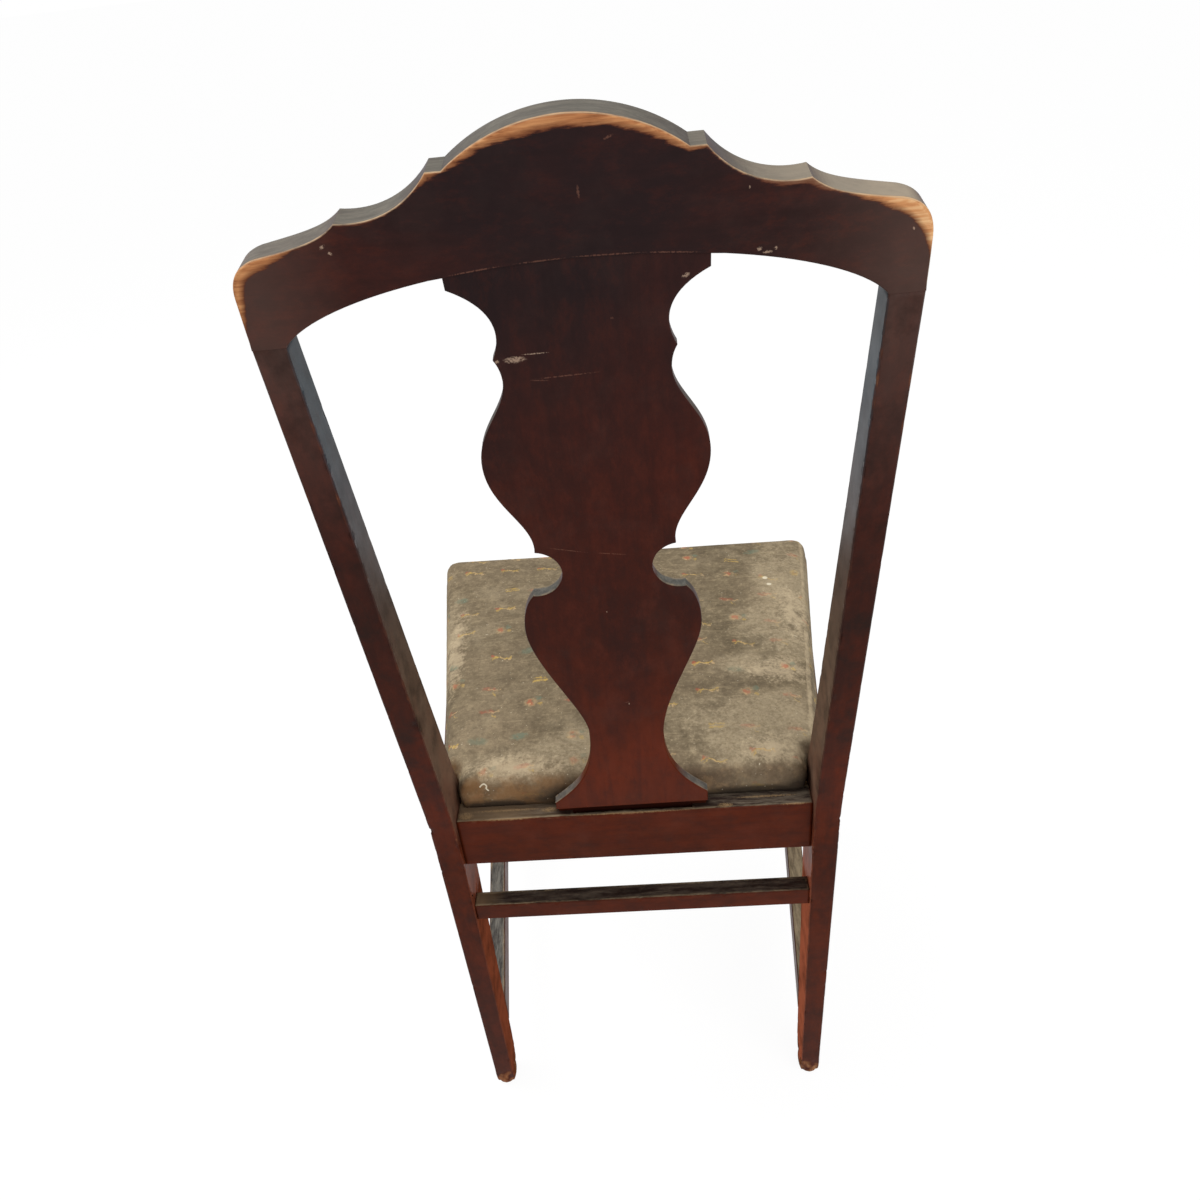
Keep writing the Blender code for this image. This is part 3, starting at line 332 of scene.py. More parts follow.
def bench_wood(name, grain, seed, light, dark):
    """Plain wood of the hidden blocks and dowels, or plywood."""
    made, net = new_material(name)
    at = net.node("TexCoord").outputs["Object"]
    turn = Vector(grain).rotation_difference(Vector((1.0, 0.0, 0.0))).to_euler()
    along = net.mapping(at, (seed * 0.31, seed * 0.53, seed * 0.19), turn)
    streaks = net.noise(net.vector("MULTIPLY", along, (0.07, 1.0, 1.0)), 220.0, 5.0, 0.6, 0.3)
    stains = net.noise(along, 40.0, 4.0, 0.6)
    colour = net.ramp(streaks, (0.3, dark), (0.7, light))
    colour = net.mix(net.remap(stains, 0.5, 0.8, 0.0, 0.5), colour, rgb(74, 58, 44))
    net.surface(colour, net.remap(stains, 0.3, 0.7, 0.55, 0.8), net.bump(streaks, 0.2, 0.0005))
    return made


def screw_metal():
    made, net = new_material("dull_screw_steel")
    at = net.node("TexCoord").outputs["Object"]
    spots = net.noise(at, 900.0, 4.0, 0.6)
    colour = net.ramp(spots, (0.35, rgb(150, 148, 142)), (0.6, rgb(118, 112, 104)), (0.8, rgb(104, 72, 50)))
    net.surface(colour, net.remap(spots, 0.3, 0.7, 0.32, 0.6), net.bump(spots, 0.1, 0.0002), metallic=1.0)
    return made


# Outlines of the back

def arc_through(a, b, c, steps):
    """Points of the circle through a, b and c, from a up to but not including c."""
    (ax, ay), (bx, by), (cx, cy) = a, b, c
    d = 2 * (ax * (by - cy) + bx * (cy - ay) + cx * (ay - by))
    sa, sb, sc = ax * ax + ay * ay, bx * bx + by * by, cx * cx + cy * cy
    ox = (sa * (by - cy) + sb * (cy - ay) + sc * (ay - by)) / d
    oy = (sa * (cx - bx) + sb * (ax - cx) + sc * (bx - ax)) / d
    radius = math.hypot(ax - ox, ay - oy)
    start, middle, end = (math.atan2(y - oy, x - ox) for x, y in (a, b, c))
    turn = (end - start) % (2 * math.pi)
    if (middle - start) % (2 * math.pi) > turn:
        turn -= 2 * math.pi
    angles = [start + turn * k / steps for k in range(steps)]
    return [(ox + radius * math.cos(t), oy + radius * math.sin(t)) for t in angles]


def curve_to(a, handle_a, handle_b, b, steps):
    """Points of a Bezier stretch from a up to but not including b."""
    knots = [Vector((*p, 0.0)) for p in (a, handle_a, handle_b, b)]
    return [(p.x, p.y) for p in interpolate_bezier(*knots, steps + 1)[:-1]]


def under_height(x):
    """Arched underside of the crest above the joint."""
    reach = POST_INNER_TOP + UNDER_SPREAD
    full = UNDER_CROWN / (1 - math.sqrt(1 - (POST_INNER_TOP / reach) ** 2))
    return UNDER_CROWN - full * (1 - math.sqrt(max(0.0, 1 - (x / reach) ** 2)))


def crest_half():
    """Half outline from the joint's outer end up to the arch's crown."""
    outer = CREST_OUTER
    shoulder = (outer - SHOULDER_IN, SHOULDER_HEIGHT)
    step = (ARCH_HALF + STEP_WIDTH, ARCH_FOOT)
    turn = (SHOULDER_HEIGHT - SHOULDER_START) * SHOULDER_FULLNESS
    run = shoulder[0] - CUSP[0]
    chord = Vector(step) - Vector(CUSP)
    hollow = (Vector(step) + Vector(CUSP)) / 2 + Vector((-chord.y, chord.x)).normalized() * HOLLOW_SAG
    points = [(outer, SHOULDER_START * k / 6) for k in range(6)]
    points += curve_to(
        (outer, SHOULDER_START), (outer, SHOULDER_START + turn),
        (outer - SHOULDER_IN * (1 - SHOULDER_FULLNESS), SHOULDER_HEIGHT - turn / 5), shoulder, 14)
    points += curve_to(
        shoulder, (CUSP[0] + run / 2, SHOULDER_HEIGHT + SWEEP_RISE),
        (CUSP[0] + run / 5, CUSP[1] - SWEEP_DIP), CUSP, 16)
    points += arc_through(CUSP, tuple(hollow), step, 20)
    points += [step, (ARCH_HALF + STEP_WIDTH / 2, ARCH_FOOT)]
    points += arc_through((ARCH_HALF, ARCH_FOOT), (0.0, ARCH_TOP), (-ARCH_HALF, ARCH_FOOT), 48)[:24]
    return points


def splat_frame():
    head = CREST_PLACE @ Vector((0.0, -SPLAT_FLUSH, UNDER_CROWN))
    lean = math.atan2(head.y - SPLAT_FOOT.y, head.z - SPLAT_FOOT.z)
    return Matrix.Translation(SPLAT_FOOT) @ Matrix.Rotation(-lean, 4, "X")


SPLAT_PLACE = splat_frame()


def splat_head(x):
    """Height in the splat's frame at which it meets the arched underside of the crest."""
    middle = Vector((x, -SPLAT_FLUSH - SPLAT_THICK / 2, under_height(x)))
    return (SPLAT_PLACE.inverted() @ CREST_PLACE @ middle).z


def splat_half(corner_height, slimmest, low_handle, handle_heights):
    """Half outline of the double vase from the foot's corner up to the head's corner."""
    corner = splat_head(SPLAT_HEAD_HALF) - SPLAT_HEAD_BLOCK
    drawn_half, drawn_corner = 0.0775, 0.5225

    def at(x, z):
        return (x * SPLAT_HEAD_HALF / drawn_half, z * corner / drawn_corner)

    flare = (SPLAT_FOOT_HALF, at(0, corner_height)[1])
    neck, vase = at(*slimmest), at(0.0682, 0.2400)
    below, above, full = handle_heights
    lip, waist, collar = at(0.0568, 0.2780), at(0.0333, 0.2970), at(0.0510, 0.3191)
    urn, notch, cusp = at(0.0764, 0.3960), at(0.0529, 0.4600), at(0.0568, 0.4748)
    head = at(drawn_half, drawn_corner)
    points = [(SPLAT_FOOT_HALF, JOINT_GAP + (flare[1] - JOINT_GAP) * k / 4) for k in range(5)]
    points += curve_to(flare, at(*low_handle), at(slimmest[0], below), neck, 20)[1:]
    points += curve_to(neck, at(slimmest[0], above), at(0.0682, full), vase, 26)
    points += curve_to(vase, at(0.0682, 0.2560), at(0.0640, 0.2700), lip, 12)
    points += arc_through(lip, waist, collar, 22)
    points += curve_to(collar, at(0.0475, 0.3450), at(0.0764, 0.3620), urn, 24)
    points += curve_to(urn, at(0.0764, 0.4250), at(0.0535, 0.4380), notch, 20)
    points += curve_to(notch, at(0.0530, 0.4660), at(0.0545, 0.4710), cusp, 5)
    points += curve_to(cusp, at(0.0485, 0.4910), at(0.0500, 0.5090), head, 18)
    points.append(head)
    return points


# Meshes

def inward(outline):
    """Mitred directions into a closed outline, for a unit of offset."""
    points = [Vector(p) for p in outline]
    area = sum(a.cross(b) for a, b in zip(points, points[1:] + points[:1]))
    turn = math.copysign(1.0, area)
    found = []
    for k, here in enumerate(points):
        before = (here - points[k - 1]).normalized()
        after = (points[(k + 1) % len(points)] - here).normalized()
        normal = turn * Vector((-before.y - after.y, before.x + after.x))
        found.append(normal / (1 + max(before.dot(after), -0.4)))
    return found


def refine(bm, limit):
    """Cuts long edges until none is longer than the limit."""
    bmesh.ops.triangulate(bm, faces=list(bm.faces))
    longest = max(edge.calc_length() for edge in bm.edges)
    while longest > limit:
        longest = max(longest / 2, limit)
        edges = [edge for edge in bm.edges if edge.calc_length() > longest]
        bmesh.ops.subdivide_edges(bm, edges=edges, cuts=1)
        bmesh.ops.triangulate(bm, faces=[face for face in bm.faces if len(face.verts) > 3])


def plate(outline, thick, back_round, front_round):
    """An upright plate with rounded arrises: outline in X and Z, back face at Y = 0."""
    steps = 5
    normals = inward(outline)
    bm = bmesh.new()
    rings = []
    for radii, base, sign in ((back_round, 0.0, 1.0), (front_round, -thick, -1.0)):
        side = []
        for k in range(steps + 1):
            angle = math.pi / 2 * k / steps
            ring = []
            for point, normal, radius in zip(outline, normals, radii):
                place = Vector(point) + normal * (radius * (1 - math.sin(angle)))
                ring.append(bm.verts.new((place.x, base - sign * radius * (1 - math.cos(angle)), place.y)))
            side.append(ring)
        rings += side if sign > 0 else side[::-1]
    count = len(outline)
    for low, high in zip(rings, rings[1:]):
        for k in range(count):
            bm.faces.new((low[k], low[(k + 1) % count], high[(k + 1) % count], high[k]))
    bm.faces.new(rings[0])
    bm.faces.new(rings[-1])
    bmesh.ops.recalc_face_normals(bm, faces=list(bm.faces))
    refine(bm, FACE_EDGE)
    return bm


def cad_copy(node):
    """The solid's mesh with its corners joined, ready to be dressed."""
    bm = bmesh.new()
    bm.from_mesh(NODES[node].data)
    bmesh.ops.remove_doubles(bm, verts=list(bm.verts), dist=1e-5)
    return bm


def sharp_points(bm, spacing=0.002):
    """Points along the sharp edges of a mesh."""
    found = []
    for edge in bm.edges:
        if edge.calc_face_angle(0.0) > SHARP:
            a, b = (vert.co for vert in edge.verts)
            count = max(1, int((b - a).length / spacing))
            found += [a.lerp(b, k / count) for k in range(count + 1)]
    return found


def tree_of(points):
    tree = kdtree.KDTree(len(points))
    for k, point in enumerate(points):
        tree.insert(point, k)
    tree.balance()
    return tree


def edge_wear(tree, seed, deep=0.0009):
    """Wear of the arrises: a few tenths of a millimetre, more here and there."""
    def worn(point):
        nearest, _, far = tree.find(point)
        spread = noise.noise(nearest * 22 + Vector((seed, 0, 0))) + 0.6 * noise.noise(nearest * 90)
        return deep * max(-0.5, spread) - far
    return worn


def dressed(name, node, bm, place, material, bare, rim=None):
    """Makes the piece that stands for a node, with its wear as attributes."""
    mesh = bpy.data.meshes.new(name)
    bm.to_mesh(mesh)
    bm.free()
    for key, worn in (("bare", bare), ("rim", rim or (lambda point: 1.0))):
        layer = mesh.attributes.new(key, "FLOAT", "POINT")
        layer.data.foreach_set("value", [worn(vert.co) for vert in mesh.vertices])
    mesh.transform(place)
    mesh.polygons.foreach_set("use_smooth", [True] * len(mesh.polygons))
    mesh.set_sharp_from_angle(angle=SHARP)
    mesh.materials.append(material)
    piece = bpy.data.objects.new(name, mesh)
    scene.collection.objects.link(piece)
    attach(piece, "root")
    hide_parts(node)


NO_DRIFT = (1.0, 2.0, rgb(0, 0, 0))
SCUFF_DEEP = 0.003
TIGHT = 0.0001          # radius of arrises inside a joint


def crest_at(x, z):
    return CREST_PLACE @ Vector((x, 0.0, z))


def splat_at(x, z):
    return SPLAT_PLACE @ Vector((x, 0.0, z))


def scuffs(place, *rows):
    """Blots on the back of the crest or the splat: place and half sizes across and up, and lean."""
    return [(place(x, z), (across, SCUFF_DEEP, up), (0, lean, 0)) for x, z, across, up, lean in rows]


# The crest, worn to bare wood along the top of its back

# Depth of the bare band in millimetres at places across the crest, and up its two ends
BARE_ACROSS = (
    (-201, 8.5), (-193, 9.0), (-184, 7.5), (-175, 5.0), (-165, 2.6), (-155, 1.4), (-145, 1.2), (-133, 2.4),
    (-126, 1.8), (-117, 2.6), (-109, 2.4), (-100, 0.6), (-88, 0.2), (-76, 1.2), (-68, 1.8), (-62, 3.0),
    (-52, 4.6), (-42, 4.2), (-32, 5.0), (-18, 6.2), (0, 6.6), (16, 6.6), (30, 6.0), (42, 5.0), (54, 4.0),
    (64, 2.6), (67, 1.0), (72, 2.0), (76, 2.8), (81, 1.4), (90, 0.2), (102, 0.2), (112, 1.0), (121, 1.6),
    (129, 1.0), (134, 0.2), (150, 0.2), (160, 1.4), (170, 4.0), (182, 6.4), (201, 7.0),
)
BARE_UP_RIGHT = ((0, -2.0), (12, -1.0), (20, 0.6), (28, 3.4), (36, 6.6), (44, 9.0))
BARE_UP_LEFT = ((0, -2.0), (6, -1.0), (13, 1.2), (21, 3.6), (29, 5.8), (36, 6.8), (44, 7.0))


BARE_END = 0.040        # below this height the ends' own tables hold
CREST_JOINT = 0.002     # the crest meets the posts below this height
LEAST_ROUND, ROUND_SHARE, CREST_FRONT_ROUND = 0.0011, 0.2, 0.0016


def bare_depth(x, z):
    """How deep the bare band reaches at a place of the crest's upper outline."""
    if z > BARE_END:
        return np.interp(x * 1000, *zip(*BARE_ACROSS)) / 1000
    return np.interp(z * 1000, *zip(*(BARE_UP_LEFT if x > 0 else BARE_UP_RIGHT))) / 1000


def worn_round(depth):
    """Radius of the crest's top arris, larger where the wear is deep."""
    return LEAST_ROUND + ROUND_SHARE * max(0.0, depth)


def build_crest():
    half = crest_half()
    top = [*half, (0.0, ARCH_TOP), *[(-x, z) for x, z in reversed(half)]]
    seam = [SPLAT_HEAD_HALF * k / 8 for k in range(9)]
    clear = [SPLAT_HEAD_HALF + (POST_INNER_TOP - SPLAT_HEAD_HALF) * math.sin(math.pi / 2 * k / 20)
             for k in range(1, 21)]
    edge = [*seam, *clear]
    under = [*[-x for x in reversed(edge[1:])], *edge]
    outline = [*top, *[(x, under_height(x)) for x in under]]
    outline = [(x, z if z > JOINT_GAP else -0.9 * JOINT_GAP) for x, z in outline]
    depths = [bare_depth(x, z) for x, z in top]
    back_round = [TIGHT if z < CREST_JOINT else worn_round(depth) for (_, z), depth in zip(top, depths)]
    front_round = [TIGHT if z < CREST_JOINT else CREST_FRONT_ROUND for _, z in top]
    low = [TIGHT if abs(x) <= SPLAT_HEAD_HALF else LEAST_ROUND for x in under]
    low[0] = low[-1] = TIGHT
    bm = plate(outline, CREST_THICK, [*back_round, *low], [*front_round, *low])

    fine, fine_depth = [], []
    for (a, b), (deep_a, deep_b) in zip(zip(top, top[1:]), zip(depths, depths[1:])):
        for k in range(4):
            fine.append(Vector((*a, 0.0)).lerp(Vector((*b, 0.0)), k / 4))
            fine_depth.append(deep_a + (deep_b - deep_a) * k / 4)
    tree = tree_of(fine)

    def bare(point):
        _, k, far = tree.find(Vector((point.x, point.z, 0.0)))
        over = max(0.0, -point.y - worn_round(fine_depth[k]))
        return fine_depth[k] - math.hypot(far, 6 * over)

    def rim(point):
        _, k, far = tree.find(Vector((point.x, point.z, 0.0)))
        return math.hypot(far, point.y + worn_round(fine_depth[k]))

    marks = scuffs(
        crest_at,
        (0.1413, 0.0587, 0.0028, 0.0014, 0.6), (0.1378, 0.0544, 0.0022, 0.0014, -0.5),
        (-0.1045, 0.0340, 0.0022, 0.0016, 0.3), (-0.1092, 0.0318, 0.0036, 0.0013, 0),
        (-0.1138, 0.0336, 0.0016, 0.0013, -0.3), (-0.1896, 0.0375, 0.0008, 0.0014, 0.5),
        (-0.0986, 0.0687, 0.0009, 0.0011, 0),
    )
    joint = ((0.019, 0.020, 0.029), (0.058, 0.022, 0.091), (-0.019, 0.026, -0.029), (-0.055, 0.022, -0.086))
    lines = scuffs(
        crest_at,
        (-0.0057, 0.0750, 0.0011, 0.0050, 0), (-0.0241, 0.1016, 0.0040, 0.0011, 0.4),
        *[(x, under_height(x) + 0.0005, reach, 0.0007, lean) for x, reach, lean in joint],
    )
    # Dust on the crest's top; its grey is also painted sheen, and the paler tint across the right sweep is
    # painted light
    dust_and_painted_light = (0.7, rgb(104, 101, 93), rgb(132, 127, 115), (-0.06, -0.17, rgb(180, 167, 146)))
    material = mahogany("crest_mahogany", (1, 0, 0), 1.0, ragged=0.0034, dust_and_painted_light=dust_and_painted_light, marks=marks, lines=lines)
    dressed("worn_crest_rail", "crest_rail", bm, CREST_PLACE, material, bare, rim)


# Each side of the splat's foot: height of its corner, half width and height of the neck above, the handle
# at the corner, and the heights of the handles below and above the neck and at the vase
FLARE_LEFT = (0.0165, (0.0300, 0.1157), (0.0488, 0.0381), (0.0536, 0.1433, 0.2030))
FLARE_RIGHT = (0.0225, (0.0337, 0.1069), (0.0501, 0.0434), (0.0584, 0.1552, 0.2092))
FOOT_CLEAR = 0.011      # the splat's shoulder lies below this
TENON_PLACE, TENON_SIZE = (0, -0.0062, 0.003), (1.96 * SPLAT_FOOT_HALF, 0.004, 0.016)
SPLAT_ROUND = 0.0013
SHORTEST = 0.0004       # shorter steps of the outline are left out


def foot_lift(x):
    """The splat's foot stands off the rail, more on the right."""
    return 0.0085 - 0.0006 * x / SPLAT_FOOT_HALF


def build_splat():
    left, right = splat_half(*FLARE_LEFT), splat_half(*FLARE_RIGHT)
    head = [SPLAT_HEAD_HALF * (1 - k / 8) for k in range(9)]
    head = [(x, splat_head(x) - JOINT_GAP / 4) for x in head]
    foot = [(-SPLAT_FOOT_HALF + SPLAT_FOOT_HALF * k / 6, JOINT_GAP) for k in range(1, 12)]
    outline = [*left, *head, *[(-x, z) for x, z in reversed([*right, *head[:-1]])], *foot]
    outline = [(x, max(z, foot_lift(x))) for x, z in outline]
    steps = zip(outline, outline[-1:] + outline)
    outline = [here for here, last in steps if math.dist(here, last) > SHORTEST]
    top = splat_head(SPLAT_HEAD_HALF) - 0.002
    radii = [TIGHT if z > top or z < FOOT_CLEAR else SPLAT_ROUND for _, z in outline]
    bm = plate(outline, SPLAT_THICK, radii, radii)
    tenon = Matrix.Translation(TENON_PLACE) @ Matrix.Diagonal((*TENON_SIZE, 1))
    bmesh.ops.create_cube(bm, size=1.0, matrix=tenon)
    edge = [(x, z) for x, z in outline if FOOT_CLEAR < z < top]
    points = [Vector((x, y, z)) for x, z in edge for y in (0.0, -SPLAT_THICK)]
    marks = scuffs(
        splat_at,
        (0.0430, 0.4744, 0.0090, 0.0032, 0), (0.0300, 0.4775, 0.0110, 0.0006, 0),
        (0.0541, 0.4741, 0.0018, 0.0018, 0), (-0.0629, 0.5188, 0.0034, 0.0018, 0.5),
        (-0.0066, 0.1500, 0.0006, 0.0016, 0), (0.0035, 0.2565, 0.0007, 0.0012, 0),
    )
    lines = scuffs(
        splat_at,
        (0.0120, 0.4606, 0.0270, 0.0007, 0.03), (0.0296, 0.4588, 0.0080, 0.0006, -0.1),
        (0.0270, 0.3200, 0.0200, 0.0006, -0.24), (-0.0030, 0.3140, 0.0170, 0.0006, -0.16),
        (-0.0048, 0.1520, 0.0026, 0.0009, 0.2), (-0.0185, 0.4963, 0.0012, 0.0012, 0),
    )
    grain = SPLAT_PLACE.to_3x3() @ Vector((0, 0, 1))
    # The grey on the splat's upward edges is dust and a painted reflection of the sky
    material = mahogany(
        "splat_mahogany", grain, 2.0, marks=marks, lines=lines, dust_and_painted_light_from=0.4,
        dust_and_painted_light=(0.8, rgb(84, 86, 82), rgb(116, 116, 108), NO_DRIFT),
        shade=[(splat_at(0.0, 0.0), (0.09, 0.02, 0.0085))])
    dressed("worn_splat", "splat", bm, SPLAT_PLACE, material, edge_wear(tree_of(points), 2.0, 0.0007))


# The other wooden pieces keep the solids' shapes, with worn arrises and feet

FOOT_X, FOOT_Y, FOOT_LEAN = 0.17495, 0.16222, 0.36      # middle of a rear foot's sole, and its rake
FOOT_HALF_X, FOOT_HALF_Y = 0.0095, 0.0165
FOOT_ROUND, FOOT_WEAR = 0.030, 0.010    # heights up to which the feet are worn round and drawn in
FOOT_SPREAD = Vector((0.20, 0.10, 0.0))
FOOT_SQUARENESS, FOOT_DRAWN = 2.3, 0.4
NICK, NICK_FROM = 0.0024, 0.08
SOLE, KNEE_TOP = 0.0005, 0.345          # the front legs are carved between these heights
KNEE_LOW = 0.2
SEAT_HALF, KNEE_SHARE = 0.2242, 0.5     # the knees stand proud of the seat by this share of the solid's


def nick(bm, seed):
    """Small losses along the arrises."""
    edges = [edge for edge in bm.edges if edge.calc_face_angle(0.0) > SHARP]
    for vert in {vert for edge in edges for vert in edge.verts}:
        place = vert.co + Vector((seed, 0, 0))
        loss = max(0.0, noise.noise(place * 45) + 0.7 * noise.noise(place * 160) - NICK_FROM)
        vert.co -= vert.normal * NICK * loss


def round_foot(bm):
    """Wears the lower end of a rear leg round and draws in its sole."""
    for vert in bm.verts:
        if vert.co.z < FOOT_ROUND:
            middle = Vector((math.copysign(FOOT_X, vert.co.x), FOOT_Y + FOOT_LEAN * vert.co.z, vert.co.z))
            off = vert.co - middle
            across, deep = abs(off.x) / FOOT_HALF_X, abs(off.y) / FOOT_HALF_Y
            reach = (across ** FOOT_SQUARENESS + deep ** FOOT_SQUARENESS) ** (1 / FOOT_SQUARENESS)
            oval = max(across, deep) / max(reach, 1e-6)
            turned = 1 + (oval - 1) * (1 - vert.co.z / FOOT_ROUND) ** 0.5
            drawn = math.sqrt(1 - FOOT_DRAWN * max(0.0, 1 - vert.co.z / FOOT_WEAR) ** 2)
            spread = Vector((1, 1, 1)) + FOOT_SPREAD * (1 - vert.co.z / FOOT_ROUND)
            vert.co = middle + off * spread * turned * drawn


def build_post(node, seed, painted_light_tint):
    bm = cad_copy(node)
    tree = tree_of(sharp_points(bm))
    refine(bm, FACE_EDGE)
    bm.normal_update()
    nick(bm, seed)
    round_foot(bm)
    arris = edge_wear(tree, seed, 0.0011)

    def bare(point):
        ragged = 0.008 * noise.noise(point * 150 + Vector((seed, 0, 0)))
        return max(arris(point), min(0.004, (0.018 - point.z) * 0.4 + ragged) if point.z < 0.05 else -1.0)

    grain = (0, math.sin(BACK_RAKE), math.cos(BACK_RAKE))
    material = mahogany(f"{node}_mahogany", grain, seed, ragged=0.0009, soot=0.55, painted_light_tint=painted_light_tint)
    dressed(f"worn_{node}", node, bm, Matrix(), material, bare)


def build_plain(node, grain, seed, dust_and_painted_light=None, soot=0.35, marks=(), shade=(), soften=0):
    bm = cad_copy(node)
    tree = tree_of(sharp_points(bm))
    refine(bm, FACE_EDGE)
    curved = [vert for vert in bm.verts if SOLE < vert.co.z < KNEE_TOP]
    for vert in curved if soften else ():
        proud = abs(vert.co.x) - SEAT_HALF
        if proud > 0 and vert.co.z > KNEE_LOW:
            vert.co.x = math.copysign(SEAT_HALF + KNEE_SHARE * proud, vert.co.x)
    axes = dict.fromkeys(("use_axis_x", "use_axis_y", "use_axis_z"), True)
    for _ in range(soften):
        bmesh.ops.smooth_vert(bm, verts=curved, factor=0.5, **axes)
    material = mahogany(
        f"{node}_mahogany", grain, seed, ragged=0.0009, dust_and_painted_light=dust_and_painted_light, soot=soot, marks=marks, shade=shade,
        mark_tint=rgb(164, 134, 96))
    dressed(f"worn_{node}", node, bm, Matrix(), material, edge_wear(tree, seed, 0.0012))


build_crest()
build_splat()
# The posts' inner faces take a tint that paints the light falling on them, brighter on the right post
build_post("rear_post_left", 3.0, rgb(136, 72, 48))
build_post("rear_post_right", 4.0, rgb(196, 110, 79))
TAN = rgb(122, 102, 78)
RAIL_DIRT = (0.9, rgb(38, 33, 30), rgb(112, 102, 88), (0.05, 0.14, TAN))
STRETCHER_DIRT = (0.9, rgb(34, 28, 25), rgb(92, 82, 72), (0.135, 0.16, TAN))
LEFT_DIRT = (0.9, rgb(64, 64, 62), rgb(128, 126, 118), NO_DRIFT)
# The right side rails' dust is lightened as painted light
RIGHT_DUST_AND_LIGHT = (0.9, rgb(130, 116, 94), rgb(196, 178, 146), NO_DRIFT)
RAIL_TOP = 0.4214
CRUMBS = [((x, y, RAIL_TOP), (reach, deep, SCUFF_DEEP)) for x, y, reach, deep in (
    (0.120, 0.1560, 0.045, 0.0022), (0.158, 0.1610, 0.010, 0.0070), (0.118, 0.1675, 0.040, 0.0016),
    (0.078, 0.1580, 0.012, 0.0050), (-0.125, 0.1560, 0.040, 0.0020), (-0.150, 0.1675, 0.018, 0.0014),
    (-0.086, 0.1650, 0.010, 0.0040), (0.0, 0.1676, 0.085, 0.0013))]
UNDER_SPLAT = [((0.015 * k, 0.1590, RAIL_TOP), (0.016, 0.0080, 0.02)) for k in range(-4, 5)]
build_plain("rear_seat_rail", (1, 0, 0), 5.0, RAIL_DIRT, soot=0.3, marks=CRUMBS, shade=UNDER_SPLAT)
build_plain("front_seat_rail", (1, 0, 0), 6.0)
build_plain("side_seat_rail_left", (0, 1, 0), 7.0, LEFT_DIRT)
build_plain("side_seat_rail_right", (0, 1, 0), 8.0, RIGHT_DUST_AND_LIGHT)
build_plain("rear_stretcher", (1, 0, 0), 9.0, STRETCHER_DIRT)
build_plain("side_stretcher_left", (0, 1, 0), 10.0, LEFT_DIRT)
build_plain("side_stretcher_right", (0, 1, 0), 11.0, RIGHT_DUST_AND_LIGHT)
for side, seed in (("left", 12.0), ("right", 13.0)):
    build_plain(f"front_leg_{side}", (0, 0, 1), seed, soften=5)

BEECH = bench_wood("old_beech", (1, 0, 0), 1.0, rgb(176, 140, 98), rgb(122, 88, 56))
PLY = bench_wood("seat_ply", (0, 1, 0), 2.0, rgb(186, 150, 104), rgb(140, 104, 66))
STEEL = screw_metal()
for node, thing in NODES.items():
    if "screw" in node:
        finish = STEEL
    elif "dowel" in node or "block" in node:
        finish = BEECH
    elif node == "seat_board":
        finish = PLY
    else:
        continue
    thing.data.materials.clear()
    thing.data.materials.append(finish)


# The seat

PAD_LOW, PAD_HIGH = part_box("seat_cover")
BOARD_LOW, BOARD_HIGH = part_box("seat_board")
VOXEL = 0.004
CORNER_PUFF = 0.004     # the pad stands higher at its front left corner
LOW_EDGE_PUSH = 0.002   # the lower edge is pulled tight over the board
SWELL_CAP = 0.002
SPRIGS_TO_METRE = 23.0
SPRIG_SIZE, SPRIG_SCATTER = 1.12, 0.45
# Pale rubbed patches: middle and half sizes in X and Y
RUBBED_PALE = (
    ((-0.186, -0.085), (0.024, 0.070)), ((-0.157, 0.015), (0.050, 0.026)),
    ((-0.135, 0.130), (0.042, 0.030)), ((0.1880, -0.052), (0.018, 0.100)), ((0.112, 0.133), (0.070, 0.018)),
)
# A torn thread on the rear face: its place, and steps across and up in tenths of a millimetre
THREAD_AT = Vector((0.137, 0.150, 0.4455))
THREAD = (
    (50, 4), (41, 13), (32, 20), (22, 24), (12, 25), (2, 22), (-6, 16),
    (-11, 8), (-10, -2), (-6, -11), (-10, -20), (-17, -28), (-24, -35),
)
THREADS_TO_METRE = 5200.0   # of the weave, in radians
SWELL_PRESSURE, SWELL_STIFFNESS, SWELL_FRAMES = 4.0, 30.0, 20
CORNER_REACH = 0.16
LOW_EDGE_REACH = 0.016


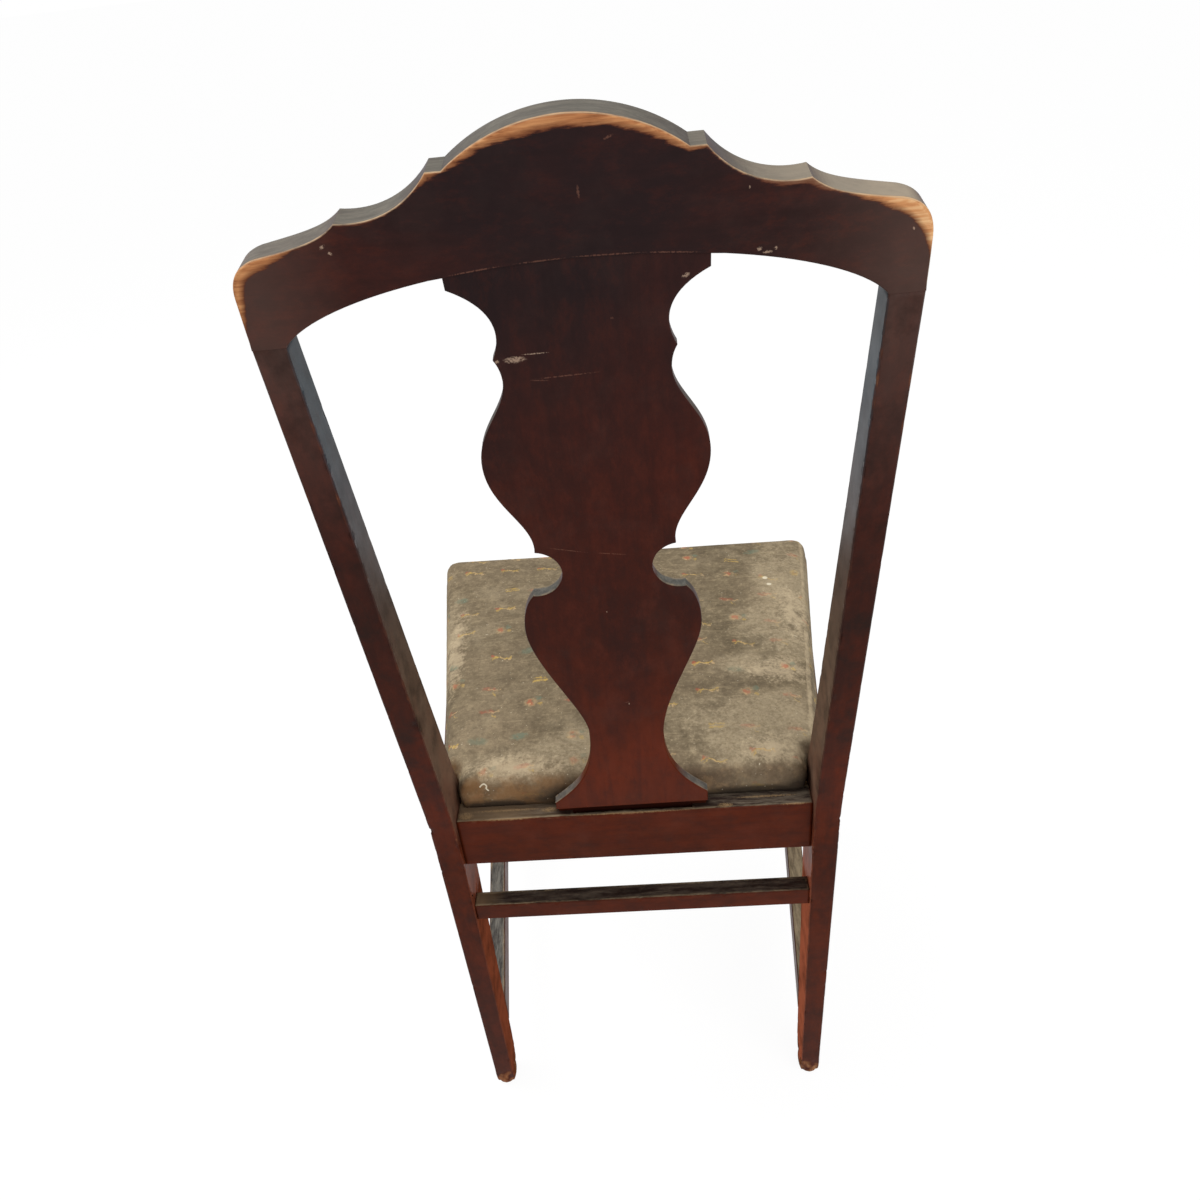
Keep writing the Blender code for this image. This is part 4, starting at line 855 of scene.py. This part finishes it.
def seat_cloth():
    """Faded cotton with scattered sprigs, rubbed and dusty, stained along the rear."""
    made, net = new_material("faded_sprigged_cotton")
    at = net.node("TexCoord").outputs["Object"]
    x, y, z = net.split(at)
    normal = net.node("NewGeometry").outputs["Normal"]
    normal_x, normal_y, _ = net.split(normal)

    # Ground
    broad = net.noise(net.vector("ADD", at, (0.31, 0.12, 0.0)), 8.0, 3.0, 0.5, 0.2)
    smoky = net.noise(at, 17.0, 5.0, 0.58, 0.15)
    mottled = net.noise(at, 95.0, 5.0, 0.7)
    rubbed = net.noise(at, 44.0, 6.0, 0.68)
    speckle = net.noise(at, 310.0, 4.0, 0.7)
    weft = net.noise(net.vector("MULTIPLY", at, (0.13, 1.0, 1.0)), 330.0, 3.0, 0.6)
    colour = net.layers(
        net.ramp(broad, (0.32, rgb(104, 92, 72)), (0.5, rgb(119, 105, 83)), (0.68, rgb(137, 121, 97))),
        (smoky, 0.52, 0.7, 0.42, rgb(163, 148, 122)), (smoky, 0.48, 0.32, 0.35, rgb(94, 83, 67)),
        (rubbed, 0.52, 0.68, 0.3, rgb(168, 150, 120)), (rubbed, 0.48, 0.34, 0.3, rgb(86, 74, 58)),
        (mottled, 0.52, 0.7, 0.4, rgb(176, 158, 126)), (mottled, 0.48, 0.32, 0.4, rgb(82, 71, 56)),
        (speckle, 0.54, 0.72, 0.45, rgb(184, 164, 130)), (speckle, 0.46, 0.3, 0.4, rgb(78, 67, 53)),
        (weft, 0.56, 0.74, 0.4, rgb(180, 161, 127)),
    )

    # Pale dust along the edges and the rear bend
    dust = net.blots(at, [
        ((-0.190, -0.150, 0.455), (0.055, 0.120, 0.06), (0, 0, 0.1)),
        ((-0.165, -0.060, 0.462), (0.060, 0.075, 0.06), (0, 0, 0.2)),
        ((-0.125, 0.005, 0.464), (0.050, 0.026, 0.06), (0, 0, 0.3)),
        ((-0.125, 0.105, 0.462), (0.120, 0.075, 0.06), (0, 0, -0.2)),
        ((0.120, 0.133, 0.460), (0.120, 0.030, 0.05)),
        ((0.215, -0.030, 0.455), (0.034, 0.170, 0.06), (0, 0, -0.1)),
        ((0.040, 0.118, 0.464), (0.080, 0.040, 0.06)),
    ])
    patchy = net.product_sum(mottled, 0.7, net.product_sum(rubbed, 0.8, smoky))
    dust = net.times(dust, net.remap(patchy, 1.02, 1.46, 0.3, 1.15))
    dust = net.remap(dust, 0.06, 0.42)
    dust_tint = net.mix(net.remap(speckle, 0.35, 0.65), rgb(166, 148, 118), rgb(200, 183, 152))
    colour = net.mix(net.times(dust, 0.46), colour, dust_tint)
    rubs = net.blots(at, [((*place, 0.463), (*halves, 0.05)) for place, halves in RUBBED_PALE])
    pale = rubs
    for ragged, share in ((rubbed, 1.6), (mottled, 1.8), (speckle, 1.2)):
        pale = net.product_sum(net.math("SUBTRACT", ragged, 0.5), share, pale)
    pale = net.times(net.remap(pale, 0.2, 0.85, 0.0, 0.55), net.remap(rubs, 0.0, 0.25))
    colour = net.mix(pale, colour, rgb(204, 184, 152))

    # Sprigs, one to a cell, on the cloth unrolled over the pad's sides
    drop = net.vector("SCALE", normal, net.math("SUBTRACT", PAD_HIGH.z, z))
    flat = net.vector("MULTIPLY", net.vector("ADD", at, drop), (1.0, 1.0, 0.0))
    cells = net.node("TexVoronoi", voronoi_dimensions="2D")
    net.fed(cells, Vector=flat, Scale=SPRIGS_TO_METRE, Randomness=SPRIG_SCATTER)
    kind, lean, fade = net.fed(net.node("SeparateColor"), cells.outputs["Color"]).outputs
    spin = net.node("VectorRotate", rotation_type="Z_AXIS")
    off = net.vector("SUBTRACT", flat, cells.outputs["Position"])
    net.fed(spin, Vector=off, Angle=net.remap(lean, 0.0, 1.0, -0.3, 0.3))
    wobble = net.fed(net.node("TexNoise"), Vector=at, Scale=260.0, Detail=3.0)
    shake = net.vector("SUBTRACT", wobble.outputs["Color"], (0.5, 0.5, 0.5))
    shake = net.vector("MULTIPLY", shake, (0.0075, 0.0075, 0.0))
    placed = net.vector("SCALE", net.vector("ADD", spin.outputs[0], shake), 1 / SPRIG_SIZE)
    u, v, _ = net.split(placed)
    worn = net.times(
        net.remap(net.noise(at, 210.0, 3.0, 0.6), 0.34, 0.5),
        net.remap(fade, 0.0, 1.0, 0.6, 1.0), net.remap(dust, 0.0, 1.0, 1.0, 0.6))

    def inside(value, middle, half, soft=0.0005):
        return net.remap(net.math("ABSOLUTE", net.math("SUBTRACT", value, middle)), half + soft, half - soft)

    def stroke(across, half_across, along_v, half_along):
        return net.times(inside(u, across, half_across), inside(along_v, 0.0, half_along))

    def dot(centre, radius):
        return net.remap(net.vector("DISTANCE", placed, (*centre, 0.0)), radius * 1.2, radius * 0.75)

    def oval(half_u, half_v):
        return net.remap(net.vector("LENGTH", net.vector("DIVIDE", placed, (half_u, half_v, 1.0))), 1.1, 0.6)

    def raised(low):
        return net.math("SUBTRACT", v, low)

    cream, yellow, brown = rgb(206, 174, 128), rgb(202, 168, 92), rgb(150, 104, 66)
    red, green = rgb(180, 80, 60), rgb(108, 128, 110)
    curl = net.product_sum(net.math("SINE", net.times(u, 300.0)), 0.0016, v)
    fork = net.product_sum(u, 0.9, v)
    branch = net.product_sum(u, -0.8, net.math("ADD", v, 0.0046))
    # Kinds of sprig: the share of cells up to which each is picked, and its strokes
    sprigs = (
        (0.20, ((stroke(0.0, 0.0070, raised(0.0020), 0.0011), yellow, 0.9),
                (stroke(0.0008, 0.0066, raised(-0.0018), 0.0010), yellow, 0.8))),
        (0.42, ((stroke(0.0, 0.0105, curl, 0.0009), yellow, 0.85),
                (stroke(-0.0010, 0.0034, fork, 0.0008), cream, 0.9),
                (stroke(0.0058, 0.0030, branch, 0.0008), yellow, 0.9),
                (dot((-0.0085, 0.0034), 0.0017), cream, 0.8), (dot((0.0080, -0.0030), 0.0022), red, 0.6))),
        (0.60, ((dot((0.0, 0.0), 0.0058), cream, 0.45), (oval(0.0034, 0.0046), red, 0.7),
                (dot((0.0022, 0.0026), 0.0016), cream, 0.8), (dot((-0.0078, 0.0042), 0.0022), yellow, 0.7),
                (dot((-0.0088, -0.0034), 0.0028), green, 0.7))),
        (0.84, ((oval(0.0080, 0.0028), red, 0.5), (stroke(-0.0060, 0.0060, curl, 0.0008), cream, 0.85),
                (stroke(-0.0075, 0.0024, fork, 0.0008), yellow, 0.8))),
        (0.93, ((dot((0.0, 0.0), 0.0052), yellow, 0.85), (dot((0.0, 0.0), 0.0026), brown, 0.8))),
        (1.00, ((oval(0.0090, 0.0046), green, 0.6),)),
    )
    low = 0.0
    for high, strokes in sprigs:
        picked = net.times(net.math("GREATER_THAN", kind, low), net.math("LESS_THAN", kind, high), worn)
        low = high
        for share, tint, strength in strokes:
            colour = net.mix(net.times(share, strength, picked), colour, tint)

    # Rear face: brown stain to the left, darker along its bottom and near the pad's two front corners
    ragged = net.product_sum(net.math("SUBTRACT", rubbed, 0.5), 0.03, z)
    rear = net.times(net.remap(normal_y, 0.2, 0.8), net.remap(ragged, 0.464, 0.446))
    stain = net.mix(net.remap(x, 0.03, 0.09), rgb(104, 86, 68), rgb(128, 92, 58))
    stain = net.layers(
        stain, (rubbed, 0.45, 0.6, 0.6, rgb(70, 56, 43)), (mottled, 0.5, 0.66, 0.4, rgb(148, 118, 84)))
    colour = net.mix(net.times(rear, net.remap(smoky, 0.35, 0.65, 0.95, 0.65)), colour, stain)
    dark_low_blots = net.blots(at, [
        ((-0.168, 0.152, 0.428), (0.040, 0.024, 0.018)),
        ((0.040, 0.152, 0.430), (0.085, 0.020, 0.016)),
        ((0.130, 0.152, 0.424), (0.060, 0.020, 0.010)),
        ((-0.120, 0.152, 0.424), (0.070, 0.020, 0.012)),
        ((0.172, 0.150, 0.434), (0.013, 0.028, 0.024)),
        ((0.2225, -0.196, 0.440), (0.008, 0.005, 0.012)),
        ((-0.2225, -0.228, 0.446), (0.008, 0.004, 0.010)),
    ])
    dark_low_blots = net.times(dark_low_blots, net.remap(mottled, 0.35, 0.6, 0.6, 1.0))
    colour = net.mix(net.remap(dark_low_blots, 0.05, 0.5, 0.0, 0.85), colour, rgb(46, 39, 33))

    # Pale band down the pad's right side, painted as light falling on that face, flecks and a torn thread
    painted_lit_right_face = net.times(
        net.remap(normal_x, -0.42, -0.55), net.remap(normal_x, -0.86, -0.74),
        net.remap(normal_y, 0.5, 0.3), net.remap(mottled, 0.4, 0.6, 0.3, 0.8))
    colour = net.mix(painted_lit_right_face, colour, rgb(196, 176, 144))
    flecks = net.remap(net.noise(at, 420.0, 1.0, 0.4), 0.76, 0.79)
    thread = [THREAD_AT + Vector((across, 0, up)) / 10000 for across, up in THREAD]
    spots = net.blots(at, [
        ((-0.163, -0.156, 0.463), (0.0042, 0.0042, 0.02)), ((-0.166, -0.1425, 0.463), (0.0040, 0.0036, 0.02)),
        *[(place, (0.0012, 0.02, 0.0009)) for place in thread],
    ])
    flecks = net.math("MAXIMUM", net.times(flecks, 0.6), net.remap(spots, 0.2, 0.45))
    colour = net.mix(flecks, colour, rgb(222, 210, 184))

    # Weave
    warp, fill = (net.math("SINE", net.times(along, THREADS_TO_METRE)) for along in (x, y))
    weave = net.product_sum(net.times(warp, fill), 0.5, weft)
    colour = net.layers(colour, (weave, 0.0, 1.2, 0.12, rgb(74, 67, 55)))
    relief = net.bump(weave, 0.2, 0.0004, net.bump(mottled, 0.2, 0.0008))
    net.surface(colour, net.remap(smoky, 0.3, 0.7, 0.78, 0.95), relief, specular=0.1)
    return made


def build_seat():
    bm = bmesh.new()
    for node in ("seat_cover", "seat_padding", "seat_board"):
        bm.from_mesh(NODES[node].data)
    bmesh.ops.remove_doubles(bm, verts=list(bm.verts), dist=1e-5)
    mesh = bpy.data.meshes.new("upholstered_seat")
    bm.to_mesh(mesh)
    bm.free()
    seat = bpy.data.objects.new("upholstered_seat", mesh)
    scene.collection.objects.link(seat)
    remesh = seat.modifiers.new("even", "REMESH")
    remesh.mode = "VOXEL"
    remesh.voxel_size = VOXEL
    depsgraph = bpy.context.evaluated_depsgraph_get()
    even = bpy.data.meshes.new_from_object(seat.evaluated_get(depsgraph))
    seat.modifiers.clear()
    seat.data = even
    bpy.data.meshes.remove(mesh)
    rest = np.array([vert.co for vert in even.vertices])

    held = seat.vertex_groups.new(name="held")
    board_top = BOARD_HIGH.z + 0.002
    held.add([k for k, point in enumerate(rest) if point[2] < board_top], 1.0, "REPLACE")
    cloth = seat.modifiers.new("swell", "CLOTH")
    cloth.settings.quality = 6
    cloth.settings.use_pressure = True
    cloth.settings.uniform_pressure_force = SWELL_PRESSURE
    cloth.settings.effector_weights.gravity = 0.0
    cloth.settings.vertex_group_mass = "held"
    cloth.settings.tension_stiffness = SWELL_STIFFNESS
    cloth.settings.compression_stiffness = SWELL_STIFFNESS
    cloth.point_cache.frame_start = 1
    cloth.point_cache.frame_end = SWELL_FRAMES
    for step in range(1, SWELL_FRAMES + 1):
        scene.frame_set(step)
    depsgraph = bpy.context.evaluated_depsgraph_get()
    swollen = seat.evaluated_get(depsgraph).to_mesh()
    moved = np.array([vert.co for vert in swollen.vertices])
    seat.modifiers.clear()
    scene.frame_set(1)
    shift = moved - rest
    length = np.linalg.norm(shift, axis=1, keepdims=True)
    rest = rest + shift * np.minimum(1.0, SWELL_CAP / np.maximum(length, 1e-9))

    for vert, point in zip(even.vertices, rest):
        vert.co = point
    even.update()
    corner = Vector((PAD_HIGH.x, PAD_LOW.y))
    for vert in even.vertices:
        x, y, z = vert.co
        near = max(0.0, 1 - (Vector((x, y)) - corner).length / CORNER_REACH)
        up = max(0.0, z - PAD_LOW.z) / (PAD_HIGH.z - PAD_LOW.z)
        lift = CORNER_PUFF * near ** 2 * (3 - 2 * near) * up
        outward = Vector((vert.normal.x, vert.normal.y, 0.0))
        if outward.length > 0.3:
            low = max(0.0, 1 - (z - PAD_LOW.z) / LOW_EDGE_REACH)
            vert.co += outward.normalized() * LOW_EDGE_PUSH * low
            if z < PAD_LOW.z + VOXEL:
                vert.co.z = PAD_LOW.z
        elif z > BOARD_HIGH.z:
            vert.co.z += 0.0009 * noise.noise(Vector((x, y, 0)) * 16)
        elif abs(x) < 0.19 and -0.23 < y < 0.125:
            vert.co.z = max(z, BOARD_LOW.z + 0.005)
        vert.co.z += lift
    even.polygons.foreach_set("use_smooth", [True] * len(even.polygons))
    even.materials.clear()
    even.materials.append(seat_cloth())
    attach(seat, "root")
    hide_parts("seat_cover", "seat_padding")


build_seat()


# Stage, light and camera

FLOOR = 40.0            # half size of the floor


def build_stage():
    mesh = bpy.data.meshes.new("floor")
    corners = [(-FLOOR, -FLOOR, 0), (FLOOR, -FLOOR, 0), (FLOOR, FLOOR, 0), (-FLOOR, FLOOR, 0)]
    mesh.from_pydata(corners, [], [(0, 1, 2, 3)])
    floor = bpy.data.objects.new("floor", mesh)
    scene.collection.objects.link(floor)
    made, net = new_material("pale_floor")
    matt = net.fed(net.node("BsdfDiffuse"), Color=(0.85, 0.85, 0.85, 1))
    glow = net.fed(net.node("Emission"), Color=(1, 1, 1, 1), Strength=1.06)
    both = net.fed(net.node("MixShader"), net.times(net.seen(), 0.88), matt.outputs[0], glow.outputs[0])
    net.fed(net.node("OutputMaterial"), Surface=both.outputs[0])
    mesh.materials.append(made)


def build_light():
    world = bpy.data.worlds.new("studio")
    world.use_nodes = True
    scene.world = world
    net = Net(world.node_tree)
    strength = net.remap(net.seen(), 0.0, 1.0, 0.55, 1.0)
    back = net.fed(net.node("Background"), Color=(1, 1, 1, 1), Strength=strength)
    net.fed(net.node("OutputWorld"), Surface=back.outputs[0])
    for name, place, aim, size, watts in (
        ("key", (1.3, -0.6, 2.6), (0.0, 0.0, 0.6), 1.6, 42.0),
        ("fill", (-1.2, 1.8, 1.6), (0.0, 0.0, 0.6), 1.8, 24.0),
    ):
        light = bpy.data.lights.new(name, "AREA")
        light.size = size
        light.energy = watts
        lamp = bpy.data.objects.new(name, light)
        lamp.location = place
        lamp.rotation_euler = (Vector(aim) - Vector(place)).to_track_quat("-Z", "Y").to_euler()
        scene.collection.objects.link(lamp)


def build_camera():
    """The viewpoint solved from the chair's corners, for a square frame of 1200 pixels."""
    yaw, pitch, roll = 0.08931, 0.61294, 0.11881
    focal, right_px, down_px, frame_px, sensor = 1030.0, -22.39, 38.96, 1200.0, 36.0
    ahead = Vector((math.sin(yaw) * math.cos(pitch), -math.cos(yaw) * math.cos(pitch), -math.sin(pitch)))
    right = ahead.cross(Vector((0, 0, 1))).normalized()
    down = ahead.cross(right)
    across = right * math.cos(roll) + down * math.sin(roll)
    below = down * math.cos(roll) - right * math.sin(roll)
    data = bpy.data.cameras.new("camera")
    data.sensor_width = sensor
    data.lens = focal * sensor / frame_px
    data.shift_x = -right_px / frame_px
    data.shift_y = down_px / frame_px
    camera = bpy.data.objects.new("camera", data)
    turn = Matrix((across, -below, -ahead)).transposed()
    camera.matrix_world = Matrix.Translation((-0.03003, 0.85746, 1.11003)) @ turn.to_4x4()
    scene.collection.objects.link(camera)
    scene.camera = camera


build_stage()
build_light()
build_camera()
scene.view_settings.view_transform = "Standard"
bpy.context.view_layer.update()
